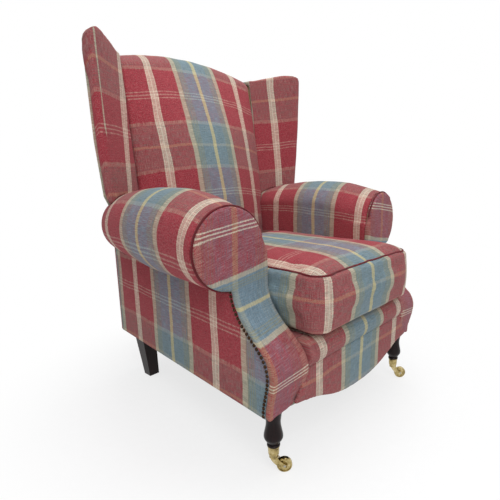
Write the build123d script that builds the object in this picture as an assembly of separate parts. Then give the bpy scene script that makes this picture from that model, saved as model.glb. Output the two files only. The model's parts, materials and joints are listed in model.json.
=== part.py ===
from build123d import *

import math
import os

# Wing-backed fireside armchair: hardwood frame, webbing, padded covers, a loose seat cushion,
# turned front legs on brass castors and square tapered back legs. Millimetres, +Z up.
# The chair faces -Y. The origin is on the floor under the middle of the chair.
# "left" is the -X side. Left-hand pieces are modelled and the right-hand ones mirror them.

# ---- body, in plan ----------------------------------------------------------------------
OVERALL_DEPTH = 850.0            # cushion front to outside back
KNEE_SETBACK = 66.0              # nail line behind the cushion front, at the knee
SEAT_HALF = 242.0                # half the width between the arms
ARM_WIDTH = 110.0                # arm at the knee, from the seat to the outside
BODY_TAPER = 66.0                # narrowing of each side from the knee to the back
PANEL = 8.0                      # outside covers with their backing card
TIMBER = 28.0                    # thickness of rails and posts
FRONT_RAIL_STEP = 19.0           # front rail before the nail line
BORDER = 8.0                     # padded cover of the front rail
DUST_CLOTH = 1.5
PLY = 18.0                       # thickness of shaped boards
TOUCH = 0.2                      # gap between curved pieces that lie on each other
SIDE_FRONT_X = SEAT_HALF + ARM_WIDTH
SIDE_BACK_X = SIDE_FRONT_X - BODY_TAPER
FRONT_Y = -OVERALL_DEPTH / 2
BACK_Y = OVERALL_DEPTH / 2
CORNER_Y = FRONT_Y + KNEE_SETBACK
FRONT_RAIL_Y = CORNER_Y - FRONT_RAIL_STEP
TAPER = math.degrees(math.atan2(SIDE_FRONT_X - SIDE_BACK_X, BACK_Y - CORNER_Y))

# ---- heights ----------------------------------------------------------------------------
RAIL_Z = 165.0                   # underside of the rails and top of the legs
RAIL_HEIGHT = 100.0
WEBBING = 3.0
PLATFORM = 62.0                  # padded deck under the cushion
LIP_REACH = 20.0                 # swell of the platform's front roll before the front rail
STRAP_SHARE = 0.62               # webbing's width to its spacing
APRON_LOW = 131.0                # lowest point of the front border, in the middle
APRON_HIGH = 183.0               # its highest, beside the knees
OVERALL_HEIGHT = 1100.0          # middle of the back
ARCH_DROP = 34.0                 # fall of the back's arched top from its middle to the wings
DECK_Z = RAIL_Z + RAIL_HEIGHT + WEBBING
SEAT_Z = DECK_Z + PLATFORM
APRON_END = SEAT_HALF + 6        # half the width of the apron's curve

# ---- arms -------------------------------------------------------------------------------
SCROLL_R = 95.0                  # arm scroll, seen from the front
SCROLL_Z = 546.0                 # height of its centre
SCROLL_OUT = 7.0                 # its centre outside the body's side
SCROLL_SETBACK = 106.0           # scroll front behind the nail line
FACING = 16.0                    # padded facing, front to back
KNEE_REACH = 20.0                # knee in front of the nail line
KNEE_Z = 282.0
FOOT_STEP = 14.0                 # foot of the front curve behind the knee
NECK_Z = 452.0                   # underside of the roll and top of the arm rail
FOOT_WIDTH = 74.0                # facing across its bottom edge
ARM_RAIL_HEIGHT = 25.0
POST_DEPTH = 190.0               # back edge of the arm posts behind the nail line
CHEEK_EASE = 8.0                 # inner cheek of the arm front, outside the seat
CHEEK_X = ARM_WIDTH - CHEEK_EASE - PLY
ROLL_PROUD = 2.0                 # padded roll outside the facing's scroll
ROLL_END = 70.0                  # its back end before the outside back
INSIDE_ARM = 12.0                # padding of the inside arm
BOARD_EASE = 6.0                 # scroll board smaller than the scroll
KNEE_BLOCK_HEIGHT = 70.0
PIPING_R = 2.6
NAIL_R = 4.5
NAIL_HEAD = 2.6
NAIL_PITCH = 10.6
NAIL_INSET = 5.0                 # nail line behind the facing's back edge

# ---- back and wings ---------------------------------------------------------------------
BACK_EDGE = 18.0                 # inside back narrower than the body, each side
BACK_HALF = SIDE_BACK_X - BACK_EDGE
BACK_PADDING = 101.0             # posts to the crease at the wings, at seat height
POST_FOOT = 103.0                # posts at the rails, front to outside back
RAKE = 0.12                      # lean of the back, run for rise
CROWN = 70.0                     # swell of the back's middle at the seat
BELLY = 43.0                     # further swell half way up
TOP_RISE = 30.0                  # rounding over the top edge
EDGE_BELLY = 6.0                 # hollow of the back's line beside the wings
WRAP = 12.0                      # depth of the padding turned down behind the top rail
POST_Y = BACK_Y - POST_FOOT
CREASE_Y = POST_Y - BACK_PADDING
POST_LEAN = 0.061
POST_LOW = 22.0                  # post tops under the padding
POST_X = (SIDE_BACK_X + PANEL * math.tan(math.radians(TAPER))
          - PANEL / math.cos(math.radians(TAPER)) - TOUCH)  # outside of the back posts
WAIST_Z = 600.0                  # the inside back is narrow below this, between the arms
TOP_RAIL_DROP = 34.0             # top rail under the middle of the back's top
TOP_RAIL_HEIGHT = 76.0           # at its ends
TACKING_RAIL_HEIGHT = 45.0
BLOCK_SIZE = 78.0                # glued blocks in the back corners
BLOCK_END = 26.0
BLOCK_HEIGHT = 60.0
COVER_DROP = 26.0                # outside back under the back's top in the middle, and
COVER_SIDE_DROP = 12.0           # at the wings
BACK_STRAP_LOW = 10.0            # back webbing above the arm rails, and
BACK_STRAP_HIGH = 90.0           # below the back's top at the wings
WING_PAD = 16.0
WING_BOARD = 14.0
WING_FOOT_Z = 560.0              # the wings end inside the arm rolls
WING_REACH = ((WING_FOOT_Z, 82.0), (650.0, 128.0), (800.0, 140.0), (960.0, 144.0))  # past the back
WING_FORWARD = 41.0              # wings' front edge before the crease at seat height
WING_LEAN = 0.02                 # the front edge comes forward by this, run for rise
WING_RISE = 13.0                 # top of the wings below the middle of the back
BOARD_INSET = 14.0               # wing board inside the wing's padded outline
LOBE_R = 12.0                    # rolled lobe on the outer front edge of each wing's top
LOBE_Z = 930.0                   # its lower tip

# ---- cushion ----------------------------------------------------------------------------
CUSHION_EASE = 1.0               # cushion clear of each arm
CUSHION_GAP = 0.3                # cushion clear of the platform
CUSHION_HEIGHT = 151.0           # platform to top seam
CUSHION_CROWN = 24.0             # swell above the top seam
CUSHION_BELLY = 8.0              # swell below the bottom seam
CUSHION_CORNER = 42.0
SEAM_DRAW = 4.0                  # seams drawn in from the boxing's swell
CUSHION_BACK_EASE = 6.0
COVER = 3.5

# ---- legs and castors -------------------------------------------------------------------
LEG_X = 39.0                     # front leg from the outside of the arm, and
LEG_Y = 25.0                     # behind the nail line
LEG_TOP_R = 21.0
LEG_BULB_R = 23.5
LEG_END_R = 12.8
BACK_LEG_TOP = 52.0
BACK_LEG_FOOT = 36.0
BACK_LEG_INSET = 46.0            # its axis at the rails, inside the body's side
BACK_LEG_SET = 75.0              # and before the outside back
BACK_LEG_TOP_AT = (SIDE_BACK_X - BACK_LEG_INSET, BACK_Y - BACK_LEG_SET)
BACK_LEG_FOOT_AT = (BACK_LEG_TOP_AT[0] - 9, BACK_LEG_TOP_AT[1] - 12)
BOLT_R = 4.0
BOLT_LENGTH = 60.0
CUP_TOP_Z = 72.0
CUP_BASE_Z = 46.0
CUP_WALL = 1.6
CUP_FLOOR = 4.0
WHEEL_R = 19.0
WHEEL_WIDTH = 12.0
TRAIL = 26.0                     # axle ahead of the swivel pin
TRAIL_TURN = 44.0                # the castors stand turned this far from straight ahead
PIN_R = 4.0
AXLE_R = 3.0
RUNNING_FIT = 0.05
CASTOR_GAP = 0.4
FORK_WALL = 3.0


def box(x0, x1, y0, y1, z0, z1):
    """A block between two corners."""
    return Pos((x0 + x1) / 2, (y0 + y1) / 2, (z0 + z1) / 2) * Box(x1 - x0, y1 - y0, z1 - z0)


def prism(outline, plane, depth):
    """A closed outline given a thickness."""
    return extrude(plane * make_face(outline), amount=depth)


# The arm frame lies along the tapered side: x from the outside inwards, y from the nail line back.
ARM = Location((-SIDE_FRONT_X, CORNER_Y, 0), (0, 0, -TAPER))
FRONT_VIEW = Plane(origin=(0, 0, 0), x_dir=(1, 0, 0), z_dir=(0, -1, 0))
SIDE_VIEW = Plane(origin=(0, 0, 0), x_dir=(0, 1, 0), z_dir=(1, 0, 0))


def back_front_y(z, share=1.0):
    """Front of the inside back at a height; share is 0 in the middle and 1 at the wings."""
    shoulder = OVERALL_HEIGHT - TOP_RISE
    up = (z - SEAT_Z) / (shoulder - SEAT_Z)
    swell = CROWN * (1 - up) + 4 * BELLY * up * (1 - up)
    return CREASE_Y + (z - SEAT_Z) * RAKE - swell * (1 - share ** 2)


def post_front_y(z):
    return POST_Y + (z - RAIL_Z) * POST_LEAN


def back_top_z(share):
    return OVERALL_HEIGHT - ARCH_DROP * share ** 2


# ---- hardwood frame ---------------------------------------------------------------------
def sweep_line(setback):
    """Front curve of the arm, from the scroll down over the knee, moved back by a setback."""
    knee = -KNEE_REACH + setback
    top = SCROLL_SETBACK + setback
    middle = (top + knee) / 2
    return Spline(
        (top, NECK_Z), (middle + 12, (NECK_Z + KNEE_Z) / 2 - 6), (knee, KNEE_Z),
        (knee + FOOT_STEP - 1, RAIL_Z + 25), (knee + FOOT_STEP, RAIL_Z),
        tangents=((-0.1, -1), (0, -1)),
    )


def arm_board(x0, x1, back_y):
    """A board cut to the arm's front curve, standing between two x planes of the arm frame."""
    outline = sweep_line(FACING) + Polyline(
        (SCROLL_SETBACK + FACING, NECK_Z), (back_y, NECK_Z), (back_y, RAIL_Z),
        (FOOT_STEP - KNEE_REACH + FACING, RAIL_Z),
    )
    return Pos(x0, 0, 0) * prism(outline, SIDE_VIEW, x1 - x0)


def post_blank(x0, x1, back):
    """The back posts' leaning side view given a width."""
    top_z = back_top_z(1.0) - POST_LOW
    outline = Polyline(
        (post_front_y(RAIL_Z), RAIL_Z), (post_front_y(top_z), top_z), (back, top_z), (back, RAIL_Z),
        (post_front_y(RAIL_Z), RAIL_Z),
    )
    return Pos(x0, 0, 0) * prism(outline, SIDE_VIEW, x1 - x0)


def back_post():
    return post_blank(-POST_X, -POST_X + TIMBER, BACK_Y - PANEL)


def rail_to_post(z0, z1):
    """A side rail of the arm frame, from the arm post back to the leaning back post."""
    long = box(PANEL, PANEL + TIMBER, POST_DEPTH, 2 * BACK_Y, z0, z1)
    return ARM * long - post_blank(-2 * SIDE_FRONT_X, 0, 3 * BACK_Y)


def apron_edge(lift, reach):
    """Shaped bottom edge of the front, lowest in the middle."""
    middle = APRON_LOW + lift
    high = APRON_HIGH + lift
    return Spline(
        (-reach, high - 1), (-APRON_END * 0.8, middle + 39), (-APRON_END * 0.45, middle + 11),
        (0, middle), (APRON_END * 0.45, middle + 11), (APRON_END * 0.8, middle + 39),
        (reach, high - 1), tangents=((1, 0), (1, 0)),
    )


def front_rail(neighbours):
    """Front rail with its lower edge cut to the apron's curve."""
    reach = APRON_END
    outline = apron_edge(8, reach) + Polyline(
        (reach, APRON_HIGH + 7), (reach, RAIL_Z + RAIL_HEIGHT), (-reach, RAIL_Z + RAIL_HEIGHT),
        (-reach, APRON_HIGH + 7),
    )
    blank = Pos(0, FRONT_RAIL_Y + TIMBER, 0) * prism(outline, FRONT_VIEW, TIMBER)
    for piece in neighbours:
        blank = blank - piece
    return blank


def back_rail():
    inner = POST_X - TIMBER
    return box(-inner, inner, BACK_Y - PANEL - TIMBER, BACK_Y - PANEL, RAIL_Z, RAIL_Z + RAIL_HEIGHT)


def tacking_rail():
    """Low rail between the back posts, which the webbing and covers are tacked to."""
    inner = POST_X - TIMBER
    y0 = post_front_y(SEAT_Z)
    return box(-inner, inner, y0, y0 + TIMBER, SEAT_Z, SEAT_Z + TACKING_RAIL_HEIGHT)


def top_rail():
    inner = POST_X - TIMBER
    side = back_top_z(1.0) - POST_LOW
    low = side - TOP_RAIL_HEIGHT
    middle = OVERALL_HEIGHT - TOP_RAIL_DROP
    outline = ThreePointArc((-inner, side), (0, middle), (inner, side)) + Polyline(
        (inner, side), (inner, low), (-inner, low), (-inner, side),
    )
    y0 = post_front_y(side)
    return Pos(0, BACK_Y - PANEL, 0) * prism(outline, FRONT_VIEW, BACK_Y - PANEL - y0)


def corner_block():
    """Glued block in the back corner, which the back leg screws to."""
    x1 = POST_X - TIMBER
    y1 = BACK_Y - PANEL - TIMBER
    outline = Polyline((-x1, y1), (-x1 + BLOCK_SIZE, y1), (-x1 + BLOCK_SIZE, y1 - BLOCK_END),
                       (-x1 + BLOCK_END, y1 - BLOCK_SIZE), (-x1, y1 - BLOCK_SIZE), (-x1, y1))
    return Pos(0, 0, RAIL_Z) * extrude(make_face(outline), amount=BLOCK_HEIGHT)


def knee_block():
    """Block between the arm post and the cheek, over the front leg."""
    return box(PANEL + TIMBER, CHEEK_X, FOOT_STEP + 1 - KNEE_REACH + FACING, LEG_Y + 2 * LEG_TOP_R,
               RAIL_Z, RAIL_Z + KNEE_BLOCK_HEIGHT)


def scroll_board():
    """Round board behind the arm's scroll, flat where it stands on the post and cheek."""
    disc = Pos(-SCROLL_OUT, 0, SCROLL_Z) * Rot(90, 0, 0) * Cylinder(SCROLL_R - BOARD_EASE, PLY)
    y0 = SCROLL_SETBACK + FACING
    disc = Pos(0, y0 + PLY / 2, 0) * disc
    above = box(-SIDE_FRONT_X, SIDE_FRONT_X, 0, SIDE_FRONT_X, NECK_Z, OVERALL_HEIGHT)
    inner = box(-SIDE_FRONT_X, -SEAT_HALF - INSIDE_ARM / 2, FRONT_Y, BACK_Y, 0, OVERALL_HEIGHT)
    return ARM * (disc & above) & inner


# ---- wings ------------------------------------------------------------------------------
WING_LEVELS = [z for z, reach in WING_REACH] + [OVERALL_HEIGHT + 6]
WING_TOTAL = WING_PAD + WING_BOARD
WING_NOSE = WING_TOTAL / 2


def wing_reach(z):
    """How far the wing stands out past the back at a height."""
    reach = WING_REACH[0][1]
    for (z0, r0), (z1, r1) in zip(WING_REACH, WING_REACH[1:]):
        share = min(max((z - z0) / (z1 - z0), 0.0), 1.0)
        reach = reach + (r1 - r0) * share
    return reach


def wing_line(z):
    """Crease and front edge of the left wing's inner face at a height."""
    tip_y = CREASE_Y - WING_FORWARD - (z - WING_FOOT_Z) * WING_LEAN
    crease = Vector(-BACK_HALF - 0.5, back_front_y(z) + 2, 0)
    tip = Vector(-BACK_HALF - wing_reach(z), tip_y, 0)
    along = (tip - crease).normalized()
    return crease, tip, along, Vector(along.Y, -along.X, 0)


def wing_point(z, u, n):
    """A point u back from the wing's front edge and n behind its inner face."""
    crease, tip, along, behind = wing_line(z)
    spot = tip - along * u + behind * n
    return Vector(spot.X, spot.Y, z)


def wing_length(z):
    crease, tip, along, behind = wing_line(z)
    return (tip - crease).length


def lofted(section):
    return loft([section(z) for z in WING_LEVELS], ruled=True)


def wing_pad_section(z):
    """Padded inner face with a rounded nose turned back to the wing board."""
    nose = WING_NOSE
    bend = nose * (1 - math.sqrt(0.5))
    length = wing_length(z)
    p = [wing_point(z, u, n) for u, n in (
        (length, 0), (nose, 0), (bend, bend), (0, nose), (bend, WING_TOTAL - bend),
        (nose, WING_TOTAL), (WING_PAD, WING_TOTAL), (WING_PAD, WING_PAD), (length, WING_PAD))]
    return make_face(Line(p[0], p[1]) + ThreePointArc(p[1], p[2], p[3]) + ThreePointArc(p[3], p[4], p[5])
                     + Polyline(*p[5:], p[0]))


def wing_board_section(z):
    length = wing_length(z)
    post = post_front_y(z) - TOUCH
    points = [wing_point(z, WING_PAD + TOUCH, WING_PAD + TOUCH), wing_point(z, WING_PAD + TOUCH, WING_TOTAL),
              wing_point(z, length - WING_BOARD, WING_TOTAL), Vector(-POST_X, post, z),
              Vector(-BACK_HALF - 1, post, z), wing_point(z, length, WING_PAD + TOUCH)]
    return make_face(Polyline(*points, points[0]))


def outside_wing_section(z):
    start = wing_point(z, WING_PAD + TOUCH, WING_TOTAL + TOUCH)
    end = Vector(-SIDE_BACK_X, BACK_Y - PANEL, z)
    run = (end - start).normalized()
    out = Vector(-run.Y, run.X, 0) * PANEL
    points = [start, end, end + out, start + out]
    return make_face(Polyline(*points, points[0]))


def wing_wedge_section(z):
    """The whole wing in plan, from its inner face to the outside cover."""
    length = wing_length(z)
    points = [wing_point(z, length, 0), wing_point(z, WING_NOSE, 0), wing_point(z, WING_NOSE, WING_TOTAL),
              wing_point(z, WING_PAD + TOUCH, WING_TOTAL + TOUCH), Vector(-SIDE_BACK_X, BACK_Y - PANEL, z),
              Vector(-BACK_HALF - 0.5, BACK_Y - PANEL, z)]
    return make_face(Polyline(*points, points[0]))


def wing_lobe():
    """Small tapered roll that turns the wing's top front edge outwards."""
    top = OVERALL_HEIGHT - WING_RISE - 10
    sections = []
    for share, size in ((0.0, 0.2), (0.35, 0.85), (0.65, 1.0), (1.0, 0.6)):
        z = LOBE_Z + (top - LOBE_Z) * share
        centre = wing_point(z, WING_NOSE + 2, WING_TOTAL - 6 + (LOBE_R - 8) * size)
        sections.append(Plane(origin=centre) * RegularPolygon(LOBE_R * size, 12))
    return loft(sections, ruled=True)


def wing_outline(inset):
    """The wing seen from the front: top edge dipping from the back, then rising to a rounded tip."""
    top_x = BACK_HALF + WING_REACH[-1][1] - inset
    rise = OVERALL_HEIGHT - WING_RISE - inset
    crease_z = back_top_z(1.0) - inset
    inner = -BACK_HALF + 20
    return Polyline((-top_x - 40, SCROLL_Z), (-top_x - 40, 900.0)) + Spline(
        (-top_x - 40, 900.0), (-top_x - 26, rise - 44), (-top_x + 6, rise - 6),
        (-top_x + 56, rise - 4), (-BACK_HALF - 30, crease_z + 2), (inner, crease_z - 2),
        tangents=((0, 1), (1, 0)),
    ) + Polyline((inner, crease_z - 2), (inner, SCROLL_Z), (-top_x - 40, SCROLL_Z))


def wing_prism(inset):
    return Pos(0, BACK_Y + 20, 0) * prism(wing_outline(inset), FRONT_VIEW, BACK_Y + 20)


def wing_pad(post):
    """Padding of the wing's inner face and nose, carried over the top of the frame."""
    inner = (lofted(wing_pad_section) + wing_lobe()) & wing_prism(0)
    cap = lofted(wing_wedge_section) & (wing_prism(0) - wing_prism(BOARD_INSET))
    return (inner - lofted(wing_board_section)) + cap - post


# ---- arms -------------------------------------------------------------------------------
def ring(y, x, z, rx, rz):
    """A closed ring of four arcs round an ellipse, standing across the arm."""
    spots = [Vector(x + rx * math.cos(i * math.pi / 4), y, z + rz * math.sin(i * math.pi / 4))
             for i in range(8)]
    outline = ThreePointArc(spots[0], spots[1], spots[2])
    for i in (2, 4, 6):
        outline = outline + ThreePointArc(spots[i], spots[i + 1], spots[(i + 2) % 8])
    return make_face(outline)


def roll(grow):
    """The arm's padded roll: it swells behind the facing, stands out from the tapered side and
    is drawn in at its back end. Each station: out from the side, up, half width, half height."""
    start = SCROLL_SETBACK + FACING
    end = BACK_Y - CORNER_Y - ROLL_END
    front = SCROLL_R + ROLL_PROUD + grow
    stations = ((0, 0, 0, 0), (1, 11, 3, 12), (4, 17, 5, 17), (9, 20, 4, 14),
                (14, 23, 1, 5), (15, 22, -4, -6), (10, 15, -21, -22), (3, 6, -50, -52))
    pitch = (end - start) / (len(stations) - 1)
    sections = [ring(start + i * pitch, -SCROLL_OUT - out, SCROLL_Z + up, front + wide, front + high)
                for i, (out, up, wide, high) in enumerate(stations)]
    out, up, wide, high = stations[-1]
    crown = [ring(end + back, -SCROLL_OUT - out + 4 * share, SCROLL_Z + up, r, r)
             for back, share, r in ((6, 0.3, 44), (12, 0.7, 34), (15, 1, 20))]
    cap = loft([sections[-1]] + crown, ruled=True)
    return ARM * (loft(sections) + cap)


def inner_trim(grow=0.0):
    return box(-2 * SIDE_FRONT_X, -SEAT_HALF + grow, 2 * FRONT_Y, 2 * BACK_Y, 0, 2 * OVERALL_HEIGHT)


def arm_pad(boards, back):
    """Roll and inside arm in one padded piece, hollowed over the frame."""
    y0 = SCROLL_SETBACK + FACING
    behind_curve = arm_board(0, 2 * SIDE_FRONT_X, 2 * BACK_Y) + box(
        0, 2 * SIDE_FRONT_X, y0, 2 * BACK_Y, NECK_Z, SCROLL_Z)
    inside = box(-SEAT_HALF - INSIDE_ARM, -SEAT_HALF, FRONT_Y, POST_Y - 20, DECK_Z, SCROLL_Z
                 ) & ARM * behind_curve
    seat_side = box(PANEL, 400, 0, 900, RAIL_Z, NECK_Z)
    disc = Rot(90, 0, 0) * Cylinder(SCROLL_R - BOARD_EASE + TOUCH, PLY)
    disc = Pos(-SCROLL_OUT, y0 + PLY / 2, SCROLL_Z) * disc
    padded = (roll(0) & inner_trim()) - ARM * seat_side - ARM * disc
    shape = padded + inside
    for piece in (*boards, back):
        shape = shape - piece
    return shape


def room_behind_back(before):
    """Space of the back posts and of what lies before them, which the arm's padding leaves free."""
    posts = Pos(0, -before, 0) * post_blank(-SIDE_FRONT_X, SIDE_FRONT_X, BACK_Y + PANEL)
    return posts & box(-POST_X - TOUCH, 0, 0, 2 * BACK_Y, 0, OVERALL_HEIGHT)


def facing_outline():
    """Front view of the facing: scroll, neck and knee, narrowing to its foot."""
    centre = Vector(-SCROLL_OUT, SCROLL_Z)
    r = SCROLL_R
    neck_z = SCROLL_Z - math.sqrt(r ** 2 - SCROLL_OUT ** 2)

    def rim(angle):
        return (centre.X + r * math.cos(math.radians(angle)), centre.Y + r * math.sin(math.radians(angle)))

    return (Line((0, RAIL_Z), (0, neck_z)) + ThreePointArc((0, neck_z), rim(-160), rim(140))
            + ThreePointArc(rim(140), rim(90), rim(10))
            + Polyline(rim(10), (FOOT_WIDTH + 60, NECK_Z), (FOOT_WIDTH + 50, KNEE_Z),
                       (FOOT_WIDTH + 26, RAIL_Z + 50), (FOOT_WIDTH, RAIL_Z + 14), (0, RAIL_Z)))


def facing():
    top = OVERALL_HEIGHT / 2 + SCROLL_R + 10
    front = sweep_line(0)
    rear = sweep_line(FACING)
    low = FOOT_STEP - KNEE_REACH
    outline = front + Polyline((SCROLL_SETBACK, NECK_Z), (SCROLL_SETBACK, top),
                               (SCROLL_SETBACK + FACING, top), (SCROLL_SETBACK + FACING, NECK_Z))
    outline = outline + rear + Line((low + FACING, RAIL_Z), (low, RAIL_Z))
    band = Pos(-2 * SCROLL_R, 0, 0) * prism(outline, SIDE_VIEW, 4 * SCROLL_R)
    front_shape = Pos(0, 300, 0) * prism(facing_outline(), FRONT_VIEW, 400)
    return ARM * (band & front_shape) & inner_trim()


def scroll_piping():
    """Covered cord round the scroll, between the facing and the roll."""
    r = SCROLL_R + PIPING_R + TOUCH
    y = SCROLL_SETBACK + FACING / 2

    def spot(angle):
        return Vector(-SCROLL_OUT + r * math.cos(math.radians(angle)), y,
                      SCROLL_Z + r * math.sin(math.radians(angle)))

    path = Wire(ThreePointArc(spot(-94), spot(-170), spot(120))
                + ThreePointArc(spot(120), spot(60), spot(13)))
    section = Plane(origin=path @ 0, z_dir=path % 0) * Circle(PIPING_R)
    return ARM * sweep(section, path=path)


def outside_arm():
    """Flat outside cover, from the hem to the underside of the roll and up behind its end."""
    low = FOOT_STEP - KNEE_REACH + FACING
    length = (BACK_Y - CORNER_Y) / math.cos(math.radians(TAPER)) + PANEL
    under = NECK_Z - 8
    line = sweep_line(FACING)
    behind_scroll = SCROLL_SETBACK + SCROLL_R
    outline = line + Polyline(
        (SCROLL_SETBACK + FACING, NECK_Z), (SCROLL_SETBACK + FACING + 2, under), (behind_scroll, under),
        (behind_scroll, WING_FOOT_Z - TOUCH), (length, WING_FOOT_Z - TOUCH), (length, RAIL_Z), (low, RAIL_Z),
    )
    before_back = box(-2 * SIDE_FRONT_X, 0, 2 * FRONT_Y, BACK_Y - PANEL, 0, OVERALL_HEIGHT)
    return ARM * prism(outline, SIDE_VIEW, PANEL) & before_back


def nails():
    """Domed nails closely spaced down the front edge of the outside cover."""
    line = sweep_line(FACING + NAIL_INSET)
    count = int(line.length / NAIL_PITCH)
    heads = []
    for i in range(count):
        spot = line @ ((i + 0.9) / (count + 0.4))
        plane = Plane(origin=(0, spot.X, spot.Y), x_dir=(0, 1, 0), z_dir=(-1, 0, 0))
        dome = loft([plane * RegularPolygon(NAIL_R, 8),
                     plane.offset(NAIL_HEAD) * RegularPolygon(NAIL_R * 0.45, 8)], ruled=True)
        heads.append(ARM * dome)
    return heads


# ---- padded back, platform and front ----------------------------------------------------
def inside_back(grow):
    """Padded inside back, swelling in the middle and rounded over its arched top."""
    half = BACK_HALF + grow
    sections = []
    for share in (-1.0, -0.5, 0.0, 0.5, 1.0):
        top = back_top_z(share) + grow
        shoulder = top - TOP_RISE
        middle_z = (SEAT_Z + shoulder) / 2
        rear = WEBBING + TOUCH - grow
        bottom_front = Vector(share * half, back_front_y(SEAT_Z, share) - grow, SEAT_Z)
        middle = Vector(share * half, back_front_y(middle_z, share) - grow - EDGE_BELLY, middle_z)
        top_front = Vector(share * half, back_front_y(shoulder, share) - grow + EDGE_BELLY, shoulder)
        top_back = Vector(share * half, BACK_Y - PANEL, shoulder)
        apex = Vector(share * half, (top_front.Y + top_back.Y) / 2, top)
        wrap_z = shoulder - WRAP
        wrap_back = Vector(share * half, BACK_Y - PANEL, wrap_z)
        under_wrap = Vector(share * half, post_front_y(wrap_z) - rear, wrap_z)
        bottom_back = Vector(share * half, post_front_y(SEAT_Z) - rear, SEAT_Z)
        sections.append(make_face(ThreePointArc(bottom_front, middle, top_front)
                                  + ThreePointArc(top_front, apex, top_back)
                                  + Polyline(top_back, wrap_back, under_wrap, bottom_back, bottom_front)))
    padded = loft(sections)
    sides = box(-2 * half, 2 * half, 0, 2 * BACK_Y, 0, WAIST_Z - grow) - box(
        -SEAT_HALF - grow, SEAT_HALF + grow, 0, 2 * BACK_Y, 0, WAIST_Z)
    return padded - sides


def outside_back():
    """Flat outside cover of the back with its arched top."""
    side = back_top_z(1.0) - COVER_SIDE_DROP
    top = OVERALL_HEIGHT - COVER_DROP
    outline = ThreePointArc((-SIDE_BACK_X, side), (0, top), (SIDE_BACK_X, side)) + Polyline(
        (SIDE_BACK_X, side), (SIDE_BACK_X, RAIL_Z), (-SIDE_BACK_X, RAIL_Z), (-SIDE_BACK_X, side),
    )
    return Pos(0, BACK_Y, 0) * prism(outline, FRONT_VIEW, PANEL)


def platform():
    half = SEAT_HALF - CUSHION_EASE / 2
    return box(-half, half, FRONT_RAIL_Y + TIMBER, POST_Y, DECK_Z, SEAT_Z)


def platform_lip():
    """Front roll of the platform, rounded forward over the front rail."""
    half = SEAT_HALF - CUSHION_EASE / 2
    back = FRONT_RAIL_Y + TIMBER
    seam = RAIL_Z + RAIL_HEIGHT
    outline = Polyline((FRONT_RAIL_Y, seam), (FRONT_RAIL_Y, DECK_Z), (back, DECK_Z), (back, SEAT_Z),
                       (FRONT_RAIL_Y + 12, SEAT_Z)) + ThreePointArc((FRONT_RAIL_Y + 12, SEAT_Z),
                                         (FRONT_RAIL_Y - LIP_REACH, (seam + SEAT_Z) / 2 + 2),
                                         (FRONT_RAIL_Y - BORDER, seam)
                                         ) + Line((FRONT_RAIL_Y - BORDER, seam), (FRONT_RAIL_Y, seam))
    return Pos(-half, 0, 0) * prism(outline, SIDE_VIEW, 2 * half)


def front_border(knees):
    """Shaped cover of the front rail."""
    reach = SIDE_FRONT_X - FOOT_WIDTH
    outline = apron_edge(0, reach) + Polyline(
        (reach, APRON_HIGH - 1), (SEAT_HALF, RAIL_Z + RAIL_HEIGHT), (-SEAT_HALF, RAIL_Z + RAIL_HEIGHT),
        (-reach, APRON_HIGH - 1),
    )
    cover = Pos(0, FRONT_RAIL_Y, 0) * prism(outline, FRONT_VIEW, BORDER)
    for knee in knees:
        cover = cover - knee
    return cover


def straps(count, half_x, y0, y1):
    """Seat webbing: straps from the front rail to the back rail."""
    pitch = 2 * half_x / count
    width = pitch * STRAP_SHARE
    z0 = RAIL_Z + RAIL_HEIGHT
    return [box(-half_x + (i + 0.5) * pitch - width / 2, -half_x + (i + 0.5) * pitch + width / 2,
                y0, y1, z0, z0 + WEBBING) for i in range(count)]


def back_straps(count):
    """Back webbing: straps across the back posts, leaning with them."""
    low = NECK_Z + BACK_STRAP_LOW
    high = back_top_z(1.0) - BACK_STRAP_HIGH
    half = POST_X - TIMBER / 2 - 1
    pitch = (high - low) / count
    straps_made = []
    for i in range(count):
        z0 = low + i * pitch
        z1 = z0 + pitch * STRAP_SHARE
        outline = Polyline((post_front_y(z0), z0), (post_front_y(z1), z1),
                           (post_front_y(z1) - WEBBING, z1), (post_front_y(z0) - WEBBING, z0),
                           (post_front_y(z0), z0))
        straps_made.append(Pos(-half, 0, 0) * prism(outline, SIDE_VIEW, 2 * half))
    return straps_made


# ---- seat cushion -----------------------------------------------------------------------
CUSHION_HALF = SEAT_HALF - CUSHION_EASE
CUSHION_BACK_Y = back_front_y(SEAT_Z, 0.0) - CUSHION_BACK_EASE
CUSHION_Z = SEAT_Z + CUSHION_GAP
TOP_SEAM_Z = SEAT_Z + CUSHION_HEIGHT
BOTTOM_SEAM_Z = CUSHION_Z + CUSHION_BELLY


def cushion_section(z, inset):
    width = 2 * (CUSHION_HALF - inset)
    depth = CUSHION_BACK_Y - FRONT_Y - 2 * inset
    centre_y = (CUSHION_BACK_Y + FRONT_Y) / 2
    return Plane(origin=(0, centre_y, z)) * RectangleRounded(width, depth, CUSHION_CORNER)


def cushion_solid(inset):
    """Boxed cushion with drawn-in seams and a crowned top, taken in all round by an inset."""
    draw = SEAM_DRAW + inset
    low = BOTTOM_SEAM_Z + inset
    high = TOP_SEAM_Z - inset
    middle = (low + high) / 2
    boxing = loft([cushion_section(low, draw), cushion_section(middle, inset), cushion_section(high, draw)])
    crown = loft([cushion_section(high, draw), cushion_section(high + CUSHION_CROWN * 0.52, draw + 38),
                  cushion_section(high + CUSHION_CROWN * 0.86, draw + 96),
                  cushion_section(high + CUSHION_CROWN, draw + 150)])
    belly = loft([cushion_section(CUSHION_Z + inset, draw + 26), cushion_section(low, draw)])
    return boxing + crown + belly


def cushion_piping(z):
    """Covered cord let into a seam of the cushion."""
    rim = cushion_section(z, SEAM_DRAW - PIPING_R * 0.5)
    path = rim.face().outer_wire()
    section = Plane(origin=path @ 0, z_dir=path % 0) * Circle(PIPING_R)
    return sweep(section, path=path)


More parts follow.
